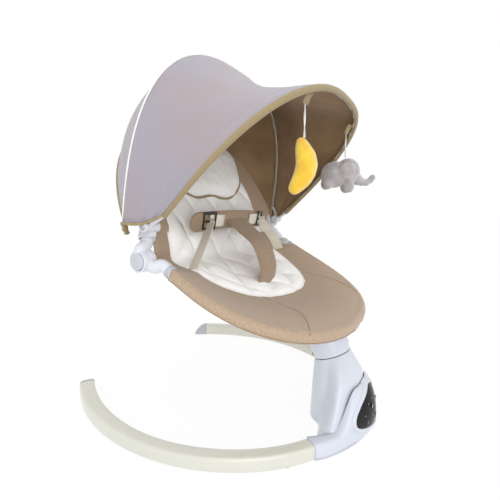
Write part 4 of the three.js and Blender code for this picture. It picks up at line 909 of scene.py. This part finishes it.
def addBlob(bm, centre, radii):
    made = bmesh.ops.create_icosphere(bm, subdivisions=4, radius=1)["verts"]
    bmesh.ops.scale(bm, vec=radii, verts=made)
    turn = Matrix((aslant, depthways, Vector((0, 0, 1)))).transposed().to_4x4()
    bmesh.ops.transform(bm, matrix=Matrix.Translation(centre) @ turn, verts=made)


def hanger(toy):
    # khaki tab on the front bow, and a doubled cord down to the toy
    hook = jointAt[f"{toy}_hang"]
    end = hook + Vector((0, 0, -toyCord["length"] * mm))
    tab = [hook + Vector((0, y, z)) * mm for y, z in ((-9, 17), (-4, 11), (0, 1))]
    ribbon(f"{toy}Tab", tab, Vector((1, -0.35, 0)).normalized(), 13, 2.2, binding, "canopy_front",
           "canopy_fabric")
    routes, strands = [], []
    for i in range(2):
        route = []
        for k in range(toyCord["points"] + 1):
            t = k / toyCord["points"]
            twist = t * toyCord["twist"] + i * math.pi
            sideways = Vector((math.cos(twist), math.sin(twist), 0)) * toyCord["radius"] * mm
            route.append(hook.lerp(end, t) + sideways)
        routes.append(route)
        strands.append(tubePiece(f"{toy}Strand{i}", route, toyCord["radius"], cotton, toy, "white_cord",
                                 count=10, up=Vector((0, 1, 0))))
    ring = lathe([(0, -0.6), (2.4, -0.6), (2.4, 0.6), (0, 0.6)], hook, aslant, 24, 0.4)
    ringPiece = finishPiece(f"{toy}Ring", ring, keyPrint, toy, "white_cord")
    (main, second), route = strands, routes[0]
    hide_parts(f"toy_cord_{toy}")
    return end


moonTop = hanger("moon")
moonLine = [(-4, -8, 8.5), (-1, -18, 12.5), (3, -29, 15.5), (4.5, -40, 16.5), (2, -51, 16.2), (-3, -61, 14.5),
            (-9, -69, 12), (-13, -74, 10)]             # along, up and radius of the crescent in mm
bm = bmesh.new()
for i in range(40):
    t = i / 39 * (len(moonLine) - 1)
    k = min(int(t), len(moonLine) - 2)
    along, up, r = (lerp(a, b, t - k) for a, b in zip(moonLine[k], moonLine[k + 1]))
    addBlob(bm, moonTop + (aslant * along + Vector((0, 0, up))) * mm, (r * mm, r * 0.78 * mm, r * mm))
plushPiece("plushMoon", bm, 1.5 * mm, yellowPlush, "moon", "yellow_plush", ("toy_moon",))

elephantTop = hanger("elephant")
elephantHeart = elephantTop + (aslant * -8 + Vector((0, 0, -33))) * mm
elephantParts = (                                      # along, across, up and radii in mm
    (-13, 0, -2, (28, 23, 27)), (14, 0, 4, (25, 22, 27)),                                 # body and head
    (-28, 9, -20, (11, 10, 13)), (-28, -9, -20, (11, 10, 13)),                            # rear legs
    (14, 9, -26, (12, 10, 14)), (14, -9, -26, (12, 10, 14)),                              # front legs
    (34, 0, -12, (12, 10, 12)), (44, 0, -17, (9, 8, 8.5)), (53, 0, -18, (8, 7.5, 7.5)),   # trunk
    (61, 0, -14, (7, 7, 7)), (66, 0, -8, (6.5, 6.5, 6.5)),
    (6, 22, 4, (16, 4, 18)), (6, -22, 4, (16, 4, 18)))                                    # ears
bm = bmesh.new()
for along, across, up, radii in elephantParts:
    addBlob(bm, elephantHeart + (aslant * along + depthways * across + Vector((0, 0, up))) * mm,
            tuple(r * mm for r in radii))
plushPiece("plushElephant", bm, 1.6 * mm, greyPlush, "elephant", "grey_plush", ("toy_elephant",))
print("toys ready")


# floor ring
ring = {"x": 257.65, "y": 314.35, "centre": 88, "z": 13.9, "width": 24.7, "height": 25, "floor": 1.4,
        "power": 4.6}
capSize = {"length": 34, "rings": 22}
coverSpan = 28.7                    # degrees of the ring from the middle plane to the end of the front cover


def ringOut(a):
    return Vector((ring["y"] * math.cos(a), ring["x"] * math.sin(a), 0)).normalized()


def onRing(angle, side, z=None, outset=0):
    a = math.radians(angle)
    out = ringOut(a) * outset
    height = ring["z"] if z is None else z
    return spot(side * (ring["x"] * math.cos(a) + out.x), ring["centre"] + ring["y"] * math.sin(a) + out.y,
                height)


def swell(t):
    # the legs grow a little towards their free ends
    return 1 + 0.2 * smoothstep(0.45, 1, t)


for name, tag, side in sides:
    route = []
    for i in range(121):
        grown = swell(i / 120)
        middleZ = ring["floor"] + ring["height"] / 2 * grown
        route.append(onRing(lerp(-61.2, 38, i / 120), side, middleZ, -(grown - 1) * ring["width"] / 2))
    bm = tubeBm(route, lambda t: ring["width"] / 2 * swell(t), 48, flat=ring["height"] / ring["width"],
                ends=2, power=ring["power"], dome=0.02)
    finishPiece(f"floorLeg{tag}", bm, ivoryAbs, "base", "leg_ivory_plastic", (f"leg_{name}",))

    start = onRing(38.1, side, None, -(swell(1) - 1) * ring["width"] / 2)
    along = (onRing(38.6, side) - onRing(37.6, side)).normalized()
    across = along.cross(Vector((0, 0, 1)))

    def toePlace(turn, step, start=start, along=along, across=across):
        # the cap's top slopes down to its toe, and its first and last rings close it
        t = min(max(step - 1, 0), capSize["rings"]) / capSize["rings"]
        drop = 0.8 * t ** 2.1
        height = ring["height"] * swell(1) * (1 - drop)
        width = ring["width"] * swell(1) * (1 - 0.34 * drop)
        shrink = 0 if step in (0, capSize["rings"] + 2) else 1
        wide, tall = squareCircle(turn * math.tau, ring["power"])
        middle = start + along * capSize["length"] * t * mm
        middle.z = (ring["floor"] + height / 2) * mm
        return middle + (across * wide * width + Vector((0, 0, tall * height))) / 2 * shrink * mm
    finishPiece(f"endCap{tag}", growShell(48, capSize["rings"] + 3, toePlace), greyAbs, "base",
                "grey_plastic", (f"leg_end_cap_{name}",), sharp=50)
print("floor ring ready")


# housing: column, front cover and control panel
nose = {"reach": 18, "belly": 7, "power": 1.7, "height": 84, "inner": 0.26, "outer": 0.68, "ridge": 10.5,
        "wall": 2.6}
neckSize = {"radius": 34, "tilt": 21.2, "height": 36, "z": 124, "rearFlare": 8, "frontFlare": 84, "reach": 23,
            "flank": 52}


def coverStation(u):
    angle = -90 + u * coverSpan
    rise = smoothstep(-nose["outer"], -nose["inner"], -abs(u))
    height = lerp(ring["height"], nose["height"], rise)
    bulge = nose["reach"] * (1.05 - math.sqrt(u * u + 0.0025)) * smoothstep(-1, -0.9, -abs(u))
    low = onRing(angle, 1, ring["floor"], ring["width"] / 2 + bulge)
    ridge = nose["ridge"] - (nose["ridge"] + ring["width"] / 2) * u * u
    high = onRing(angle, 1, ring["floor"] + height, ridge)
    belly = nose["belly"] * max(1 - (u / 0.42) ** 2, 0) ** 1.5
    return low, high, belly, lerp(5, nose["power"], rise), ringOut(math.radians(angle))


def coverPlace(u, v):
    low, high, belly, power, out = coverStation(u)
    angle = v * math.pi / 2
    inwards, up = squareCircle(angle, power)
    at = low.lerp(high, 1 - inwards)
    at += out * belly * math.sin(math.pi * v ** 0.8) * mm
    at.z = lerp(ring["floor"] * mm, high.z, up)
    return at


def noseFace(x, z, lift=0):
    # the cover's face straight in front of (x, z); a few steps find the station that passes there
    u = math.degrees(math.asin(x / (ring["x"] + nose["ridge"]))) / coverSpan
    for _ in range(6):
        low, high, belly, power, out = coverStation(u)
        up = min(max((z - ring["floor"]) / (high.z / mm - ring["floor"]), 0), 1)
        at = coverPlace(u, math.asin(up ** (power / 2)) * 2 / math.pi)
        u *= x * mm / at.x if abs(at.x) > 1e-9 else 1
    return Vector((x * mm, at.y - lift * mm, z * mm))


def coverShell(u, v):
    return coverPlace(-1 + 2 * u, v)


cover = finishPiece("frontCover", growSheet(180, 40, coverShell, lambda u, v: (u, v)), whiteAbs, None,
                    "housing_white_plastic", ("front_cover",))
if sum(face.normal.z * face.area for face in cover.data.polygons) < 0:
    cover.data.flip_normals()
wall = cover.modifiers.new("wall", "SOLIDIFY")
wall.thickness = nose["wall"] * mm
wall.offset = -1
applyModifiers(cover)
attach(cover, "base")


def columnPlace(turn, step):
    levels = 40
    f = min(step, levels) / levels
    drop = 1 - f
    shrink = 1 if step <= levels else 0
    rear = neckSize["radius"] + neckSize["rearFlare"] * drop
    frontWidth = neckSize["radius"] + neckSize["frontFlare"] * drop
    a = turn * math.tau
    share = smoothstep(0, 0.6, -math.sin(a))
    x = math.cos(a) * lerp(rear, frontWidth, share)
    depth = neckSize["radius"] + (neckSize["reach"] * min(drop / 0.34, 1) if math.sin(a) < 0 else 3 * drop)
    flank = math.exp(-((-math.sin(a) - 0.16) / 0.24) ** 2) * max(1 - f / 0.5, 0) ** 1.6
    x += math.copysign(neckSize["flank"] * flank, math.cos(a))
    y = depth * math.sin(a)
    tilt = math.radians(neckSize["tilt"]) * f
    z = lerp(ring["floor"], neckSize["z"], f)
    return spot(x * shrink, -neckAhead + y * math.cos(tilt) * shrink, z - y * math.sin(tilt) * shrink)


finishPiece("columnShell", growShell(120, 42, columnPlace), whiteAbs, "base", "housing_white_plastic",
            ("column_shell",), sharp=60)

r, height = neckSize["radius"], neckSize["height"]
collarBm = lathe([(0, 1.2), (r - 0.6, 1.2), (r, 1.8), (r, height - 1.5), (r - 1.5, height), (0, height)],
                 neck, swingAxis, 96, 0.5)
finishPiece("neckCollar", collarBm, whiteAbs, "seat_frame", "housing_white_plastic", ("neck_collar",),
            sharp=50)
gapBm = lathe([(0, -0.6), (r - 1.4, -0.6), (r - 1.4, 1.4), (0, 1.4)], neck, swingAxis, 96)
finishPiece("neckSeam", gapBm, footRubber, "base", "rubber", sharp=50)

panelSize = {"height": 72, "half": 80, "low": 12,
             "keys": {"power": (0, 28), "speed": (-14, 50.4), "music": (14, 50.4)},
             "prints": ((-36, 41), (-30, 27), (-14, 34), (-24, 57), (-9, 62), (24, 57))}


def teardrop(turn, grow=0):
    angle = turn * math.tau
    pinch = (1 + math.cos(angle)) / 2
    half = (panelSize["half"] + grow) * math.sin(angle) * (0.34 + 0.66 * pinch ** 0.7)
    middle = panelSize["height"] / 2
    return Vector((half, panelSize["low"] + middle - (middle + grow) * math.cos(angle)))


def faceShell(inner, outer, lifts):
    # raised or sunken area of the cover's face between two teardrop outlines
    middle = Vector((0, panelSize["low"] + panelSize["height"] * 0.45))
    rings = len(lifts)

    def place(turn, step):
        share, lift = lifts[min(step, rings - 1)]
        if step == rings:
            share, lift = lifts[0][0], lifts[-1][1]
        start = middle if inner is None else teardrop(turn, inner)
        at = start.lerp(teardrop(turn, outer), share)
        return noseFace(at.x, at.y, lift)
    return growShell(160, rings + 1, place)


glass = [(i / 24, 1.4 - 0.7 * (i / 24) ** 4) for i in range(25)] + [(1, -1)]
finishPiece("controlGlass", faceShell(None, -3.5, glass), pianoBlack, "base", "panel_black_gloss",
            ("control_panel",))
rim = [(0, -0.5), (0.03, 1.4), (0.1, 2.6), (0.4, 3), (0.75, 2.2), (0.94, 1), (1, -0.5)]
finishPiece("panelBezel", faceShell(-3.4, 4.6, rim), whiteAbs, "base", "housing_white_plastic")
ahead = Vector((0, -1, 0))
for name, (x, z) in panelSize["keys"].items():
    at = noseFace(x, z, 0.3)
    key = lathe([(0, 0), (4.9, 0), (4.9, 1.2), (4.2, 1.5), (0, 1.6)], at, ahead, 40)
    finishPiece(f"{name}Key", key, pianoBlack, f"{name}_key", "panel_black_gloss", (f"key_{name}",), sharp=40)
    mark = lathe([(2.2, 1.4), (3, 1.4), (3, 1.9), (2.2, 1.9), (2.2, 1.4)], at, ahead, 32)
    finishPiece(f"{name}Mark", mark, keyPrint, f"{name}_key", "panel_black_gloss", sharp=40)
for i, (x, z) in enumerate(panelSize["prints"]):
    dot = lathe([(0, 0), (1.5, 0), (1.5, 0.25), (0, 0.25)], noseFace(x, z, 1.3), ahead, 24)
    finishPiece(f"panelPrint{i}", dot, keyPrint, "base", "panel_black_gloss", sharp=40)
print("housing ready")


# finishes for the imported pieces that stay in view
keptFinishes = (
    (whiteAbs, ("chassis_bar", "bearing_carrier", "release_latch", "seat_bracket")),
    (greyAbs, ("base_plate",)), (blackNylon, ("dc_socket",)), (boardGreen, ("circuit_board",)),
    (steel, ("spindle", "bearing_lower", "bearing_upper", "magnet_arm", "hinge_screw")),
    (nickel, ("drive_magnet",)), (copper, ("drive_coil",)), (hubAbs, ("canopy_clip",)),
    (powderCoat, ("seat_tube", "back_tube", "bow_front", "bow_main")),
    (footRubber, ("foot_pad_front", "foot_pad_rear", "leg_lock_button")))
kept = {name: material for material, names in keptFinishes for name in names}
for name, node in frame["nodes"].items():
    oneSide = name.removesuffix("_left").removesuffix("_right")
    node.data.materials.clear()
    node.data.materials.append(kept.get(oneSide, whiteAbs))
print("packed pieces finished")


# stage, light and camera
# white studio paper: most of its white is its own light, so that the object's shadow stays faint
floorPaint, _ = newMaterial("whiteSweep", Base_Color=hexColour("#5A5A5A"), Roughness=0.9,
                            Specular_IOR_Level=0, Emission_Color=(1, 1, 1, 1), Emission_Strength=0.9)
bm = bmesh.new()
bmesh.ops.create_grid(bm, x_segments=1, y_segments=1, size=40)
floor = finishPiece("sweepFloor", bm, floorPaint)

world = bpy.data.worlds.new("softStudio")
bpy.context.scene.world = world
world.use_nodes = True
background = world.node_tree.nodes["Background"]
background.inputs["Color"].default_value = (1, 1, 1, 1)
background.inputs["Strength"].default_value = 1.0


def softBox(name, at, target, size, power):
    lamp = bpy.data.lights.new(name, "AREA")
    lamp.shape = "SQUARE"
    lamp.size = size
    lamp.energy = power
    holder = bpy.data.objects.new(name, lamp)
    bpy.context.scene.collection.objects.link(holder)
    holder.location = at
    holder.rotation_euler = (target - at).to_track_quat("-Z", "Y").to_euler()


lamps = {                                      # where, what it faces, its side in metres and its watts
    "overheadBox": (Vector((-0.6, -0.6, 2.2)), Vector((0, 0, 0.3)), 1.6, 7),
    "frontBox": (Vector((-1.8, -1.2, 0.9)), Vector((0, 0, 0.3)), 1.2, 3),
    "fillBox": (Vector((-1.15, -1.0, 0.42)), Vector((0, 0, 0.42)), 0.9, 6),
}
for name, lamp in lamps.items():
    softBox(name, *lamp)

viewFrom = {"at": (-584.76, -351.36, 393.3), "lens": 23.69, "sensor": 36}
lens = bpy.data.cameras.new("view")
lens.lens = viewFrom["lens"]
lens.sensor_width = viewFrom["sensor"]
camera = bpy.data.objects.new("view", lens)
bpy.context.scene.collection.objects.link(camera)
camera.location = spot(*viewFrom["at"])
forward, right = Vector((0.8503, 0.5109, -0.1260)), Vector((0.515, -0.857, 0))
upward = Vector((0.108, 0.0649, 0.992))
camera.rotation_euler = Matrix((right, upward, -forward)).transposed().to_euler()
bpy.context.scene.camera = camera
bpy.context.scene.view_settings.view_transform = "Standard"
